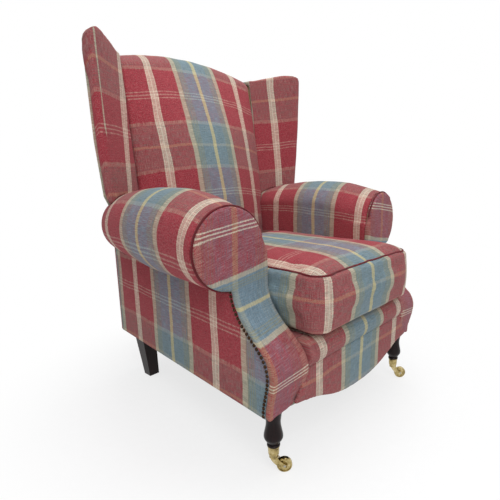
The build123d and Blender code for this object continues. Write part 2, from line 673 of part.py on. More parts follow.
# ---- legs and castors -------------------------------------------------------------------
def front_leg():
    """Squat turned leg: neck, bulb, ring and an end that fits the castor's cup."""
    end = CUP_BASE_Z + CUP_FLOOR
    outline = Polyline((0, end), (LEG_END_R, end), (LEG_END_R, CUP_TOP_Z), (LEG_END_R + 3, CUP_TOP_Z + 2),
                       (LEG_END_R + 3, CUP_TOP_Z + 6), (LEG_END_R + 1.5, CUP_TOP_Z + 8)
                       ) + Spline((LEG_END_R + 1.5, CUP_TOP_Z + 8), (LEG_BULB_R, CUP_TOP_Z + 26),
                                  (LEG_TOP_R - 2, CUP_TOP_Z + 66), (LEG_TOP_R, RAIL_Z),
                                  tangents=((0.8, 0.6), (0.1, 1))
                                  ) + Polyline((LEG_TOP_R, RAIL_Z), (0, RAIL_Z), (0, end))
    return revolve(FRONT_VIEW * make_face(outline), Axis.Z)


def back_leg():
    """Square leg, tapered and set back to front like the posts above it."""
    sections = []
    for size, (x, y), z in ((BACK_LEG_FOOT, BACK_LEG_FOOT_AT, 0), (BACK_LEG_TOP, BACK_LEG_TOP_AT, RAIL_Z)):
        sections.append(Plane(origin=(-x, y, z)) * Rectangle(size, size))
    return loft(sections, ruled=True)


def castor_cup():
    """Brass cup on the leg's end, with a bored floor for the swivel pin."""
    inner = LEG_END_R + TOUCH / 4
    outer = inner + CUP_WALL
    bore = PIN_R + RUNNING_FIT
    outline = Polyline((bore, CUP_BASE_Z), (outer - 3, CUP_BASE_Z), (outer - 1, CUP_BASE_Z + 6),
                       (outer - 0.4, CUP_TOP_Z - 5), (outer + 0.8, CUP_TOP_Z - 2), (outer, CUP_TOP_Z),
                       (inner, CUP_TOP_Z), (inner, CUP_BASE_Z + CUP_FLOOR),
                       (bore, CUP_BASE_Z + CUP_FLOOR), (bore, CUP_BASE_Z))
    return revolve(FRONT_VIEW * make_face(outline), Axis.Z)


def castor_fork():
    """Horn of the castor: swivel pin, flange, and two cheeks that carry the axle."""
    top = CUP_BASE_Z - CASTOR_GAP
    half = WHEEL_WIDTH / 2 + CASTOR_GAP
    flange = Pos(0, 0, top - 2) * Cylinder(LEG_END_R - 1.5, 4)
    pin = Pos(0, 0, (top - 4 + CUP_BASE_Z + CUP_FLOOR - CASTOR_GAP) / 2) * Cylinder(
        PIN_R, CUP_BASE_Z + CUP_FLOOR - CASTOR_GAP - top + 4)
    outline = Polyline((9, top - 1), (-9, top - 1)) + ThreePointArc(
        (-9, top - 1), (-15, top - 12), (-TRAIL - 5.5, WHEEL_R + 3)) + ThreePointArc(
        (-TRAIL - 5.5, WHEEL_R + 3), (-TRAIL - 3, WHEEL_R - 5.5), (-TRAIL + 5, WHEEL_R - 4)) + ThreePointArc(
        (-TRAIL + 5, WHEEL_R - 4), (-2, WHEEL_R + 8), (9, top - 1))
    body = Pos(-half - FORK_WALL, 0, 0) * prism(outline, SIDE_VIEW, 2 * (half + FORK_WALL))
    slot = Pos(0, -TRAIL, WHEEL_R) * Rot(0, 90, 0) * Cylinder(WHEEL_R + 1.5, 2 * half)
    bore = Pos(0, -TRAIL, WHEEL_R) * Rot(0, 90, 0) * Cylinder(AXLE_R, 4 * WHEEL_WIDTH)
    return body + flange + pin - slot - bore


def castor_axle():
    length = WHEEL_WIDTH + 2 * CASTOR_GAP + 2 * FORK_WALL
    return Pos(0, -TRAIL, WHEEL_R) * Rot(0, 90, 0) * Cylinder(AXLE_R, length)


def castor_wheel():
    """Brass wheel with a slightly crowned tread, hollowed faces and a bored hub."""
    w = WHEEL_WIDTH / 2
    bore = AXLE_R + RUNNING_FIT
    outline = Polyline((bore, -w), (7, -w), (8, -w + 2), (WHEEL_R - 4, -w + 2), (WHEEL_R - 3, -w),
                       (WHEEL_R - 1, -w), (WHEEL_R, -w + 2), (WHEEL_R, w - 2), (WHEEL_R - 1, w),
                       (WHEEL_R - 3, w), (WHEEL_R - 4, w - 2), (8, w - 2), (7, w), (bore, w), (bore, -w))
    turned = revolve(FRONT_VIEW * make_face(outline), Axis.Z)
    return Pos(0, -TRAIL, WHEEL_R) * Rot(0, 90, 0) * turned


def bolt(x, y):
    """Hanger bolt that joins a leg to the frame."""
    return Pos(x, y, RAIL_Z) * Cylinder(BOLT_R, BOLT_LENGTH)


def mirrored(shape):
    return shape.mirror(Plane.YZ)


# ---- assembly ---------------------------------------------------------------------------
os.makedirs("parts", exist_ok=True)
nodes = {}


def pair(name, left):
    nodes[name + "_left"] = left
    nodes[name + "_right"] = mirrored(left)


leg_spot = ARM * Pos(LEG_X, LEG_Y, 0)
leg_x = leg_spot.position.X
leg_y = leg_spot.position.Y
front_bolt = bolt(leg_x, leg_y)
back_bolt = bolt(-BACK_LEG_TOP_AT[0], BACK_LEG_TOP_AT[1])
nodes["leg_bolts"] = Compound([front_bolt, mirrored(front_bolt), back_bolt, mirrored(back_bolt)])

post = back_post()
cheek = ARM * arm_board(CHEEK_X, CHEEK_X + PLY, POST_DEPTH - 30) & inner_trim(-TOUCH)
arm_post = ARM * arm_board(PANEL, PANEL + TIMBER, POST_DEPTH) - front_bolt
block = ARM * knee_block() - front_bolt
rail = rail_to_post(NECK_Z - ARM_RAIL_HEIGHT, NECK_Z)
disc_board = scroll_board()
pair("back_post", post)
pair("arm_post", arm_post)
pair("arm_cheek", cheek)
pair("side_rail", rail_to_post(RAIL_Z, RAIL_Z + RAIL_HEIGHT))
pair("arm_rail", rail)
pair("scroll_board", disc_board)
corner = corner_block() - back_bolt
nodes["corner_blocks"] = Compound([corner, mirrored(corner), block, mirrored(block)])
face = facing()
nodes["front_rail"] = front_rail((cheek, mirrored(cheek), face, mirrored(face)))
nodes["back_rail"] = back_rail()
nodes["tacking_rail"] = tacking_rail()
nodes["top_rail"] = top_rail()
nodes["seat_webbing"] = Compound(straps(5, SEAT_HALF - 6, FRONT_RAIL_Y, BACK_Y - PANEL))
nodes["back_webbing"] = Compound(back_straps(5))

back_pad = inside_back(0) - nodes["top_rail"] - post - mirrored(post)
back_room = inside_back(TOUCH)
nodes["inside_back"] = back_pad
nodes["outside_back"] = outside_back()
grown_roll = roll(TOUCH)
pair("wing_pad", wing_pad(post) - grown_roll)
pair("wing_board", (lofted(wing_board_section) & wing_prism(BOARD_INSET)) - grown_roll)
pair("outside_wing", (lofted(outside_wing_section) & wing_prism(PANEL / 2)) - grown_roll - wing_lobe())

pair("arm_pad", arm_pad((cheek, disc_board, rail, room_behind_back(WEBBING + TOUCH)), back_room))
pair("arm_facing", face)
pair("scroll_piping", scroll_piping())
pair("outside_arm", outside_arm() - grown_roll)
heads = nails()
nodes["nail_trim_left"] = Compound(heads)
nodes["nail_trim_right"] = Compound([mirrored(head) for head in heads])
nodes["seat_platform"] = platform()
nodes["platform_lip"] = platform_lip()
nodes["front_border"] = front_border((face, mirrored(face)))

cover_outside = cushion_solid(0)
cords = [cushion_piping(TOP_SEAM_Z), cushion_piping(BOTTOM_SEAM_Z)]
hollow = cushion_solid(COVER)
cover = cover_outside - hollow
for cord in cords:
    cover = cover - cord
nodes["cushion_cover"] = cover
nodes["cushion_foam"] = cushion_solid(COVER + TOUCH)
nodes["cushion_piping"] = Compound(cords)

at_leg = Pos(leg_x, leg_y, 0)
at_castor = at_leg * Rot(0, 0, TRAIL_TURN)
pair("front_leg", at_leg * front_leg() - front_bolt)
pair("back_leg", back_leg() - back_bolt)
pair("castor_cup", at_leg * castor_cup())
# both castors stand turned the same way, so the right-hand ones are moved and not mirrored
for side, place in (("left", at_castor), ("right", Pos(-leg_x, leg_y, 0) * Rot(0, 0, TRAIL_TURN))):
    nodes["castor_fork_" + side] = place * castor_fork()
    nodes["castor_axle_" + side] = place * castor_axle()
    nodes["castor_wheel_" + side] = place * castor_wheel()

cloth_front = FRONT_RAIL_Y + TIMBER + TOUCH
cloth_outline = Polyline((-SIDE_FRONT_X + 14, cloth_front), (-SIDE_BACK_X + 12, BACK_Y - PANEL - 4),
                         (SIDE_BACK_X - 12, BACK_Y - PANEL - 4), (SIDE_FRONT_X - 14, cloth_front),
                         (-SIDE_FRONT_X + 14, cloth_front))
cloth = Pos(0, 0, RAIL_Z - DUST_CLOTH) * extrude(make_face(cloth_outline), amount=DUST_CLOTH)
front_top = at_leg * Pos(0, 0, RAIL_Z - 5) * Cylinder(LEG_TOP_R, 20)
for leg in (back_leg(), mirrored(back_leg()), front_top, mirrored(front_top)):
    cloth = cloth - leg
nodes["dust_cloth"] = cloth

for name, shape in nodes.items():
    shape.label = name
    export_step(shape, os.path.join("parts", name + ".step"))
print(len(nodes), "nodes; front leg at", round(leg_x, 2), round(leg_y, 2))
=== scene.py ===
import json
import math

import bpy
from mathutils import Matrix, Vector, noise


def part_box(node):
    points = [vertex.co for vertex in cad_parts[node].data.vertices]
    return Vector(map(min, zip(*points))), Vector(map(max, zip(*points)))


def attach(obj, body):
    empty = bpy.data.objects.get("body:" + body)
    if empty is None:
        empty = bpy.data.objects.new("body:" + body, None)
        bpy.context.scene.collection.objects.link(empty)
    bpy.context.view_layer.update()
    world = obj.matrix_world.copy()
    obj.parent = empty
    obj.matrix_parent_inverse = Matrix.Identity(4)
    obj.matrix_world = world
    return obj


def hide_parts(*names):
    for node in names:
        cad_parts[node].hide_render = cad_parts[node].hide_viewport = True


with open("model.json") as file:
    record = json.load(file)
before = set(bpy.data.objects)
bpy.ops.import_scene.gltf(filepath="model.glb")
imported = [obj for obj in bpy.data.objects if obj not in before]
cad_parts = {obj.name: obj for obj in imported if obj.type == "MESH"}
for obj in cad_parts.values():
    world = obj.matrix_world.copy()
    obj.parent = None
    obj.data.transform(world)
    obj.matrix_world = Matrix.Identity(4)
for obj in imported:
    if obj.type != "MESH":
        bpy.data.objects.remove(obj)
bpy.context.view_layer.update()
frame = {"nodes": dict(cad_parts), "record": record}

bl_info = {
    "name": "Fireside chair",
    "version": (1, 0, 0),
    "blender": (4, 5, 0),
    "location": "3D View > Sidebar > Fireside chair",
    "description": "Dresses the wing-backed fireside chair around its packed frame",
    "category": "Object",
}

MM = 0.001
SIDES = (("left", -1), ("right", 1))

# ---- measures shared with the frame, in millimetres ----
SIDE_FRONT_X = 352.0  # outside of the arm at the nail line
CORNER_Y = -359.0  # nail line
SIDE_RUN = 784.0  # nail line to outside back
BODY_TAPER = 66.0
TAPER = math.atan2(BODY_TAPER, SIDE_RUN)
SCROLL_Z = 546.0
SCROLL_OUT = 7.0
ROLL_START = 122.0
ROLL_END = 714.0
ROLL_LINE = ((0, 0), (1, 11), (4, 17), (9, 20), (14, 23), (15, 22), (10, 15), (3, 6))  # out, up
BACK_HALF = 268.0
SEAT_Z = 330.0
SHOULDER_Z = 1070.0
CREASE_Y = 221.0
RAKE = 0.12
CROWN = 70.0
BELLY = 43.0
WING_TIP = ((560, 82), (650, 128), (800, 140), (960, 144))  # height, how far the tip stands out
WING_FOOT_Z = 560.0
WING_TIP_Y = 180.0  # tip of the wing at its foot
WING_TIP_LEAN = 0.02  # how much the tip comes forward for each millimetre up
WING_DEPTH = 12.0  # inner face to where the cloth has turned behind
NOSE_X = 391.0  # where the wing's front edge starts to round, at NOSE_Z
NOSE_Z = 740.0
NOSE_LEAN = 0.042
NOSE_CLOTH = 1.2  # cloth for each millimetre outwards from there
WING_GAP_X, WING_GAP_Y = 0.5, 2.0  # between the wing's foot and the back's edge
CUSHION_HALF = 241.0
CUSHION_FRONT_Y = -425.0
CUSHION_CORNER = 45.0
TOP_SEAM_Z = 481.0
BOTTOM_SEAM_Z = 338.3

# Front leg, (radius, height): the turned end in the castor's cup, its rings, and the bulb
LEG_FOOT = ((12.8, 50), (12.8, 72), (15.4, 72.4), (16.2, 73.6), (16.2, 76.8), (15.4, 78),
            (14.0, 78.6))
LEG_BULB = ((14.6, 80), (18.2, 86), (22.4, 93), (23.6, 99), (22.6, 107), (20.2, 118),
            (18.4, 128), (18.0, 138), (19.4, 150), (21.2, 165))


# ---- places on the chair ----
def eased(value, start, end):
    """0 up to the start, 1 from the end on, and straight in between."""
    return min(max((value - start) / (end - start), 0.0), 1.0)


def table(pairs, at):
    """Straight-line reading of a table of (place, value)."""
    if at <= pairs[0][0]:
        return pairs[0][1]
    for (a, va), (b, vb) in zip(pairs, pairs[1:]):
        if at <= b:
            return va + (vb - va) * (at - a) / (b - a)
    return pairs[-1][1]


def arm_place(p, side):
    """Arm coordinates of a point: in from the outside, back from the nail line, up."""
    dx = p.x * -side + SIDE_FRONT_X
    dy = p.y - CORNER_Y
    c, s = math.cos(TAPER), math.sin(TAPER)
    return dx * c - dy * s, dx * s + dy * c, p.z


def roll_centre(y):
    """Centre of the arm's roll in its cross-section, y back from the nail line."""
    at = (y - ROLL_START) / (ROLL_END - ROLL_START) * (len(ROLL_LINE) - 1)
    out, up = (table([(i, knot[k]) for i, knot in enumerate(ROLL_LINE)], at) for k in (0, 1))
    return -SCROLL_OUT - out, SCROLL_Z + up


def back_front_y(z, share):
    """Front of the padded back at a height, and at a share of its half width."""
    up = (z - SEAT_Z) / (SHOULDER_Z - SEAT_Z)
    swell = CROWN * (1 - up) + 4 * BELLY * up * (1 - up)
    return CREASE_Y + (z - SEAT_Z) * RAKE - swell * (1 - share ** 2)


def wing_place(p):
    """How far a point of the wing lies from the crease towards the front edge, and how far it
    lies behind the wing's inner face."""
    x, y, z = -abs(p.x), p.y, p.z
    crease = Vector((-BACK_HALF - WING_GAP_X, back_front_y(z, 1.0) + WING_GAP_Y))
    tip = Vector((-BACK_HALF - table(WING_TIP, z), WING_TIP_Y - (z - WING_FOOT_Z) * WING_TIP_LEAN))
    along = (tip - crease).normalized()
    off = Vector((x, y)) - crease
    return off.dot(along), max(0.0, off.dot(Vector((along.y, -along.x))) - WING_DEPTH)


def round_nose(p):
    """Cloth taken up by a point's place round the wing's front edge, towards the outside."""
    return max(0.0, abs(p.x) - NOSE_X - (p.z - NOSE_Z) * NOSE_LEAN) * NOSE_CLOTH


# ---- how the check lies on each piece ----
# Each function takes a point in millimetres and gives its place on the cloth: across the
# warp stripes, then across the weft stripes, with zero in the middle of a yellow stripe.
# YELLOW says where that stripe lies on the piece, and PULL how much of its own width the
# cloth keeps there once it is drawn over the padding. A pair in braces is left and right.
WARP_HALF = 203.0  # yellow stripe to the middle of the triple cream stripe
WEFT_HALF = 177.5

BACK_YELLOW_Z = 808.0
BACK_PULL_X, BACK_PULL_Z = 0.9, 0.887
BACK_DIP = 25.0  # how much lower a weft stripe lies at the back's sides
BACK_TURN = (1035.0, 1075.0)  # heights between which the cloth turns over the top
BACK_TOP = 110.0  # depth of the top


def on_back(p, side):
    share = p.x / BACK_HALF
    depth = p.y - back_front_y(min(p.z, SHOULDER_Z), min(abs(share), 1.0))
    over = max(0.0, min(depth, BACK_TOP)) * eased(p.z, *BACK_TURN)
    return p.x / BACK_PULL_X, (p.z + BACK_DIP * share ** 2 + over - BACK_YELLOW_Z) / BACK_PULL_Z


WING_YELLOW_Z = {-1: 1010.0, 1: 985.0}
LEFT_CREAM_Z, LEFT_CREAM, LEFT_CREAM_LEAN = 1000, 20, 0.117  # cream stripe from the crease
LEFT_NOSE, LEFT_NOSE_LEAN = 148, 0.115  # front edge from the crease, at NOSE_Z
LEFT_CLOTH = 97  # cloth between the cream stripe and the front edge
LEFT_FOLD, LEFT_FOLD_MORE, LEFT_FOLD_TURN = 300, 9, (790, 840)  # seam where the cloth turns back
RIGHT_CREAM = 84
RIGHT_STRETCH = (1.25, 0.9)  # before and past the cream stripe
RIGHT_FOLD = 303
RIGHT_SLOPE = 0.1  # slope of the right wing's weft stripes


def on_wing(p, side):
    away, behind = wing_place(p)
    v = WING_YELLOW_Z[side] - p.z - behind
    if side < 0:
        cream = LEFT_CREAM + (LEFT_CREAM_Z - p.z) * LEFT_CREAM_LEAN
        nose = LEFT_NOSE + (p.z - NOSE_Z) * LEFT_NOSE_LEAN
        u = WARP_HALF + LEFT_CLOTH * (away - cream) / (nose - cream) + round_nose(p)
        fold = LEFT_FOLD + LEFT_FOLD_MORE * eased(p.z, *LEFT_FOLD_TURN)
    else:
        stretch = RIGHT_STRETCH[away >= RIGHT_CREAM]
        u = WARP_HALF + (away - RIGHT_CREAM) * stretch + round_nose(p)
        fold = RIGHT_FOLD
        v += away * RIGHT_SLOPE
    return (u if u < fold else 2 * fold - u), v


OUTSIDE_WING_YELLOW_Y = 120.0
OUTSIDE_WING_YELLOW_Z = {-1: 1010.0, 1: 992.0}


def on_outside_wing(p, side):
    return p.y - OUTSIDE_WING_YELLOW_Y, OUTSIDE_WING_YELLOW_Z[side] - p.z


ROLL_YELLOW_Y = {-1: 344.0, 1: 333.0}
ROLL_PULL = {-1: 0.915, 1: 0.89}
ROLL_YELLOW = 95.0  # angle round the roll of the yellow weft stripe, in degrees
ROLL_QUARTER = 89.5  # from there to the triple stripe
ROLL_UNDER, ROLL_UNDER_V = 139.0, 88.0  # angle past which the cloth goes under the roll
ROLL_UNDER_RATE = 1.45  # millimetres of cloth for a degree there
ROLL_INSIDE_X, ROLL_INSIDE_V = 60.0, -188.0  # the inside arm, straight down from the roll
ROLL_SEAM = -100.0  # angle of the seam under the roll


def on_roll(p, side):
    x, y, z = arm_place(p, side)
    cx, cz = roll_centre(y)
    u = (y - ROLL_YELLOW_Y[side]) / ROLL_PULL[side]
    if z < cz and x > ROLL_INSIDE_X:
        return u, ROLL_INSIDE_V - (cz - z)
    angle = math.degrees(math.atan2(z - cz, x - cx))
    if angle < ROLL_SEAM:
        angle += 360
    if angle > ROLL_UNDER:
        return u, ROLL_UNDER_V + (angle - ROLL_UNDER) * ROLL_UNDER_RATE
    return u, (angle - ROLL_YELLOW) / ROLL_QUARTER * WEFT_HALF


FACING_YELLOW_X, FACING_PULL = 2.0, 1.06
FACING_SLOPE, FACING_MIDDLE = 0.18, 20.0
FACING_ROWS = ((165, 262), (235, 201), (253, 177.5), (271, 154), (337, 88), (368, 46), (408, 0),
               (455, -48), (495, -92), (575, -152.5), (596, -177.5), (617, -202.5),
               (641, -222))  # height, place across the weft stripes


def on_facing(p, side):
    x, _, z = arm_place(p, side)
    slope = FACING_SLOPE * (x - FACING_MIDDLE)
    return (x - FACING_YELLOW_X) / FACING_PULL, table(FACING_ROWS, z) + slope


OUTSIDE_ARM_YELLOW_Y, OUTSIDE_ARM_PULL, OUTSIDE_ARM_YELLOW_Z = 418.0, 1.075, 172.0


def on_outside_arm(p, side):
    _, y, z = arm_place(p, side)
    return (y - OUTSIDE_ARM_YELLOW_Y) / OUTSIDE_ARM_PULL, z - OUTSIDE_ARM_YELLOW_Z


FRONT_YELLOW_X, FRONT_PULL, FRONT_YELLOW_Z = 3.0, 0.98, 222.0
FRONT_RISE = 0.78  # above its yellow stripe the border leans back and shows less


def on_front(p, side):
    up = p.z - FRONT_YELLOW_Z
    return (p.x - FRONT_YELLOW_X) / FRONT_PULL, up * (FRONT_RISE if up > 0 else 1.0)


PLATFORM_YELLOW_Y = -300.0
OUTSIDE_BACK_YELLOW_Z = 600.0


def on_platform(p, side):
    return p.x - FRONT_YELLOW_X, p.y - PLATFORM_YELLOW_Y


def on_outside_back(p, side):
    return p.x, p.z - OUTSIDE_BACK_YELLOW_Z


CORD_CUT = (150, 130)  # middle of the red ground that the cord is cut from


def on_cord(p, side):
    """Piping is cut on the bias, so its colours change slowly."""
    u, v = CORD_CUT
    return u + 30 * math.sin(p.x / 90), v + 20 * math.sin(p.y / 70)


PANEL_YELLOW_X, PANEL_TURN = -5.0, 15.0  # the panel starts 15 mm past its yellow stripe
BOXING_YELLOW_X, BOXING_YELLOW_Z = -2.0, 425.0


def on_cushion_panel(p):
    return p.x - PANEL_YELLOW_X, PANEL_TURN + p.y - CUSHION_FRONT_Y


def on_boxing(p, normal):
    """The boxing runs round the front corners, so its stripes follow the rim."""
    r = CUSHION_CORNER
    cx, cy = CUSHION_HALF - r, CUSHION_FRONT_Y + r
    x, y = abs(p.x), p.y
    if x <= cx or normal.y > 0.7:  # the front, or the strip that looks backwards
        run = x
    elif y <= cy:
        run = cx + r * math.atan2(x - cx, cy - y)
    else:
        run = cx + r * math.pi / 2 + y - cy
    return math.copysign(run, p.x) - BOXING_YELLOW_X, p.z - BOXING_YELLOW_Z


# ---- colours and nodes ----
# Inputs by number: Map Range has its range in 1 and 2 and the new one in 3 and 4, and Mix has
# its share in 0 and its colours in 6 and 7.
def linear(code):
    """Linear colour of an sRGB hex value."""
    out = []
    for i in (1, 3, 5):
        c = int(code[i:i + 2], 16) / 255
        out.append(c / 12.92 if c <= 0.04045 else ((c + 0.055) / 1.055) ** 2.4)
    return (*out, 1.0)


def add(tree, kind, inputs=None, stops=(), **settings):
    """One shader node with its settings and links. An input takes a value, another node's
    output, or a node for its first output. Stops are a colour ramp's places and colours."""
    node = tree.nodes.new("ShaderNode" + kind)
    for key, value in settings.items():
        setattr(node, key, value)
    for key, value in (inputs or {}).items():
        if isinstance(value, bpy.types.Node):
            value = value.outputs[0]
        if isinstance(value, bpy.types.NodeSocket):
            tree.links.new(value, node.inputs[key])
        else:
            node.inputs[key].default_value = value
    if stops:
        elements = node.color_ramp.elements
        while len(elements) < len(stops):
            elements.new(0.5)
        for element, (place, code) in zip(elements, stops):
            element.position = place
            element.color = linear(code) if isinstance(code, str) else code
    return node


def new_material(name, **surface):
    """A material with its shader; the keywords are the shader's own inputs."""
    material = bpy.data.materials.new(name)
    material.use_nodes = True
    tree = material.node_tree
    tree.nodes.clear()
    shader = add(tree, "BsdfPrincipled",
                 {key.replace("_", " "): value for key, value in surface.items()})
    add(tree, "OutputMaterial", {"Surface": shader})
    return material, tree, shader


def linked(tree, shader, **sources):
    """Links nodes' first outputs to the shader's inputs."""
    for key, node in sources.items():
        tree.links.new(node.outputs[0], shader.inputs[key.replace("_", " ")])


def scale_for(*sizes):
    """The texture scale for features of a size in millimetres, or of a size for each axis."""
    scales = tuple(1 / (size * MM) for size in sizes)
    return scales if len(scales) > 1 else scales[0]


WAVE_PITCH = 314.16  # a straight wave texture of scale 1 has bands this far apart
DIAGONAL_PITCH = 628.32  # and a diagonal one this far, measured along an axis

CRIMSON = "#95303B"
BLUE = "#6B828F"
TEAL = "#62786F"
STRAW = "#B7AF88"
OAT = "#AFA590"
CREAM = "#D2C0AC"
HEATHER = "#7C8376"
ROSE = "#B06A66"


# ---- the check ----
STRIPE_EDGE = 0.7  # a stripe's edge is soft by this much on each side
DRIFT_SIZE, DRIFT = 142.86, 14.0  # stripes wander slowly, by a few millimetres
FRAY_SIZE, FRAY = 3.03, 4.2  # and their yarns end unevenly, by about a millimetre
YARN, SLUB = 1.5625, 25.0  # yarns are 0.8 mm apart and drawn twice as coarse, to show
TWILL = 4.833  # twill lines, measured along a yarn
HAIR = 3.333  # tufts of the brushed face
YARN_SHOWS, TWILL_SHOWS = 0.95, 0.22  # how much each decides which yarn floats on top
WOOL_SHADE = (0.6, 1.32)  # darkest and lightest yarn, as shares of its colour


def yarn_order(bands, half):
    """Ramp stops of one yarn order, from the middle of a yellow stripe to the middle of the
    triple stripe."""
    stops = []
    start = 0.0
    for end, code in bands:
        stops.append((min((start + STRIPE_EDGE) / half, 1.0), code))
        stops.append((min((end - STRIPE_EDGE) / half, 1.0), code))
        start = end
    return stops


def warp_order(c):
    """The warp's colours, each with the distance where it ends, in millimetres."""
    thin = [(at, c.heather if i % 2 else c.blue)
            for i, at in enumerate((57, 60, 63, 67, 70, 75, 78, 84))]
    return [(8, c.straw), *thin, (102, c.oat), (189, c.crimson), (193.5, c.cream),
            (195, c.rose), (198, c.cream), (199.5, c.rose), (WARP_HALF, c.cream)]


def weft_order(c, blue):
    """The weft's colours, as for the warp."""
    thin = [(at, c.heather if i % 2 else blue)
            for i, at in enumerate((50, 53, 57, 60, 64, 68, 75))]
    return [(4.5, c.straw), *thin, (87, c.oat), (165, c.crimson), (168.6, c.cream),
            (175.4, c.crimson), (WEFT_HALF, c.cream)]


def check_wool(name, weft_share, depth=1.0, blue="teal"):
    """Brushed wool-look twill woven in a large check: matt and slightly hairy. Where the two
    sets of yarn cross, the one that floats on this face shows more of its colour. A depth
    below 1 darkens the whole cloth with painted shade: on the cords for the shadow beside
    them, and a little on the facings."""
    c = bpy.context.scene.fireside
    material, tree, shader = new_material(
        name, Roughness=0.93, Specular_IOR_Level=0.15,
        Sheen_Weight=0.1, Sheen_Roughness=0.5, Sheen_Tint=linear("#E8D8D0"))
    cloth = add(tree, "UVMap", uv_map="cloth")
    moved = cloth
    for size, reach in ((DRIFT_SIZE, DRIFT), (FRAY_SIZE, FRAY)):
        unrest = add(tree, "TexNoise", {"Vector": cloth, "Scale": scale_for(size), "Detail": 1.0})
        centred = add(tree, "VectorMath", {0: unrest.outputs["Color"], 1: (0.5, 0.5, 0.5)},
                      operation="SUBTRACT")
        step = add(tree, "VectorMath", {0: centred, "Scale": reach * MM}, operation="SCALE")
        moved = add(tree, "VectorMath", {0: moved, 1: step}, operation="ADD")
    parts = add(tree, "SeparateXYZ", {0: moved})
    colours = []
    for axis, half, bands in (("X", WARP_HALF, warp_order(c)),
                              ("Y", WEFT_HALF, weft_order(c, getattr(c, blue)))):
        folded = add(tree, "Math", {0: parts.outputs[axis], 1: half * MM}, operation="PINGPONG")
        place = add(tree, "Math", {0: folded, 1: half * MM}, operation="DIVIDE")
        colours.append(add(tree, "ValToRGB", {"Fac": place}, stops=yarn_order(bands, half)))
    slubs = []
    for sizes in ((YARN, SLUB, 1 / MM), (SLUB, YARN, 1 / MM)):
        drawn_out = add(tree, "Mapping", {"Vector": cloth, "Scale": scale_for(*sizes)})
        slubs.append(add(tree, "TexNoise", {"Vector": drawn_out, "Scale": 1.0, "Detail": 2.0}))
    twill = add(tree, "TexWave",
                {"Vector": cloth, "Scale": DIAGONAL_PITCH / TWILL, "Distortion": 1.2,
                 "Detail": 1.0}, bands_direction="DIAGONAL").outputs["Fac"]
    lean = add(tree, "Math", {0: slubs[0], 1: slubs[1]}, operation="SUBTRACT")
    share = add(tree, "Math", {0: lean, 1: YARN_SHOWS, 2: weft_share}, operation="MULTIPLY_ADD")
    ridge = add(tree, "Math", {0: twill, 1: 0.5}, operation="SUBTRACT")
    twilled = add(tree, "Math", {0: ridge, 1: TWILL_SHOWS, 2: share},
                  operation="MULTIPLY_ADD")
    woven = add(tree, "Mix", {0: twilled, 6: colours[0], 7: colours[1]},
                data_type="RGBA", clamp_factor=True)
    # loose pale hairs of the brushed face
    fuzz = add(tree, "TexNoise", {"Vector": cloth, "Scale": scale_for(HAIR), "Detail": 3.0})
    hairs = add(tree, "MapRange", {0: fuzz, 1: 0.42, 2: 0.72, 3: 0.0, 4: 0.2})
    hairy = add(tree, "Mix", {0: hairs, 6: woven.outputs[2], 7: linear("#B3A79F")},
                data_type="RGBA")
    both = add(tree, "Math", {0: slubs[0], 1: slubs[1]}, operation="ADD")
    dark, light = WOOL_SHADE
    # depth scales every yarn's shade; below 1 it is painted shade
    shade = add(tree, "MapRange", {0: both, 1: 0.6, 2: 1.4, 3: dark * depth, 4: light * depth})
    coloured = add(tree, "Mix", {0: 1.0, 6: hairy.outputs[2], 7: shade},
                   data_type="RGBA", blend_type="MULTIPLY")
    tree.links.new(coloured.outputs[2], shader.inputs["Base Color"])
    loft = add(tree, "Math", {0: slubs[0], 1: fuzz}, operation="ADD")
    height = add(tree, "Math", {0: twill, 1: 0.35, 2: loft}, operation="MULTIPLY_ADD")
    bump = add(tree, "Bump", {"Height": height, "Strength": 0.4, "Distance": 0.0011})
    linked(tree, shader, Normal=bump)
    return material


# ---- wood, metal, webbing and foam ----
def wood(name, stops, sizes, detail=5.0, relief=0.3, relief_depth=0.5, **surface):
    """Wood with its grain drawn out along one axis, by sizes in millimetres."""
    material, tree, shader = new_material(name, **surface)
    where = add(tree, "TexCoord").outputs["Object"]
    along = add(tree, "Mapping", {"Vector": where, "Scale": scale_for(*sizes)})
    grain = add(tree, "TexNoise", {"Vector": along, "Scale": 1.0, "Detail": detail})
    colour = add(tree, "ValToRGB", {"Fac": grain}, stops=stops)
    bump = add(tree, "Bump", {"Height": grain, "Strength": relief, "Distance": relief_depth * MM})
    linked(tree, shader, Base_Color=colour, Normal=bump)
    return material


def worn_metal(name, stops, rough_low, rough_high, size):
    """A metal whose tarnish changes its colour and polish in patches of a size in mm."""
    material, tree, shader = new_material(name, Metallic=1.0)
    where = add(tree, "TexCoord").outputs["Object"]
    tarnish = add(tree, "TexNoise", {"Vector": where, "Scale": scale_for(size), "Detail": 4.0})
    colour = add(tree, "ValToRGB", {"Fac": tarnish}, stops=stops)
    rough = add(tree, "MapRange", {0: tarnish, 1: 0.3, 2: 0.7, 3: rough_low, 4: rough_high})
    bump = add(tree, "Bump", {"Height": tarnish, "Strength": 0.1, "Distance": 0.0003})
    linked(tree, shader, Base_Color=colour, Roughness=rough, Normal=bump)
    return material


def plain_weave(name, stops, pitch, rough):
    """Plain-woven webbing or lining, matt: two crossing sets of yarn, their pitch in mm."""
    material, tree, shader = new_material(name, Roughness=rough, Specular_IOR_Level=0.15)
    where = add(tree, "TexCoord").outputs["Object"]
    wave = {"Vector": where, "Scale": WAVE_PITCH / pitch, "Distortion": 0.6}
    across, along = (add(tree, "TexWave", wave, bands_direction=axis).outputs["Fac"]
                     for axis in ("X", "Y"))
    weave = add(tree, "Math", {0: across, 1: along}, operation="MULTIPLY")
    colour = add(tree, "ValToRGB", {"Fac": weave}, stops=stops)
    bump = add(tree, "Bump", {"Height": weave, "Strength": 0.4, "Distance": 0.0008})
    linked(tree, shader, Base_Color=colour, Normal=bump)
    return material


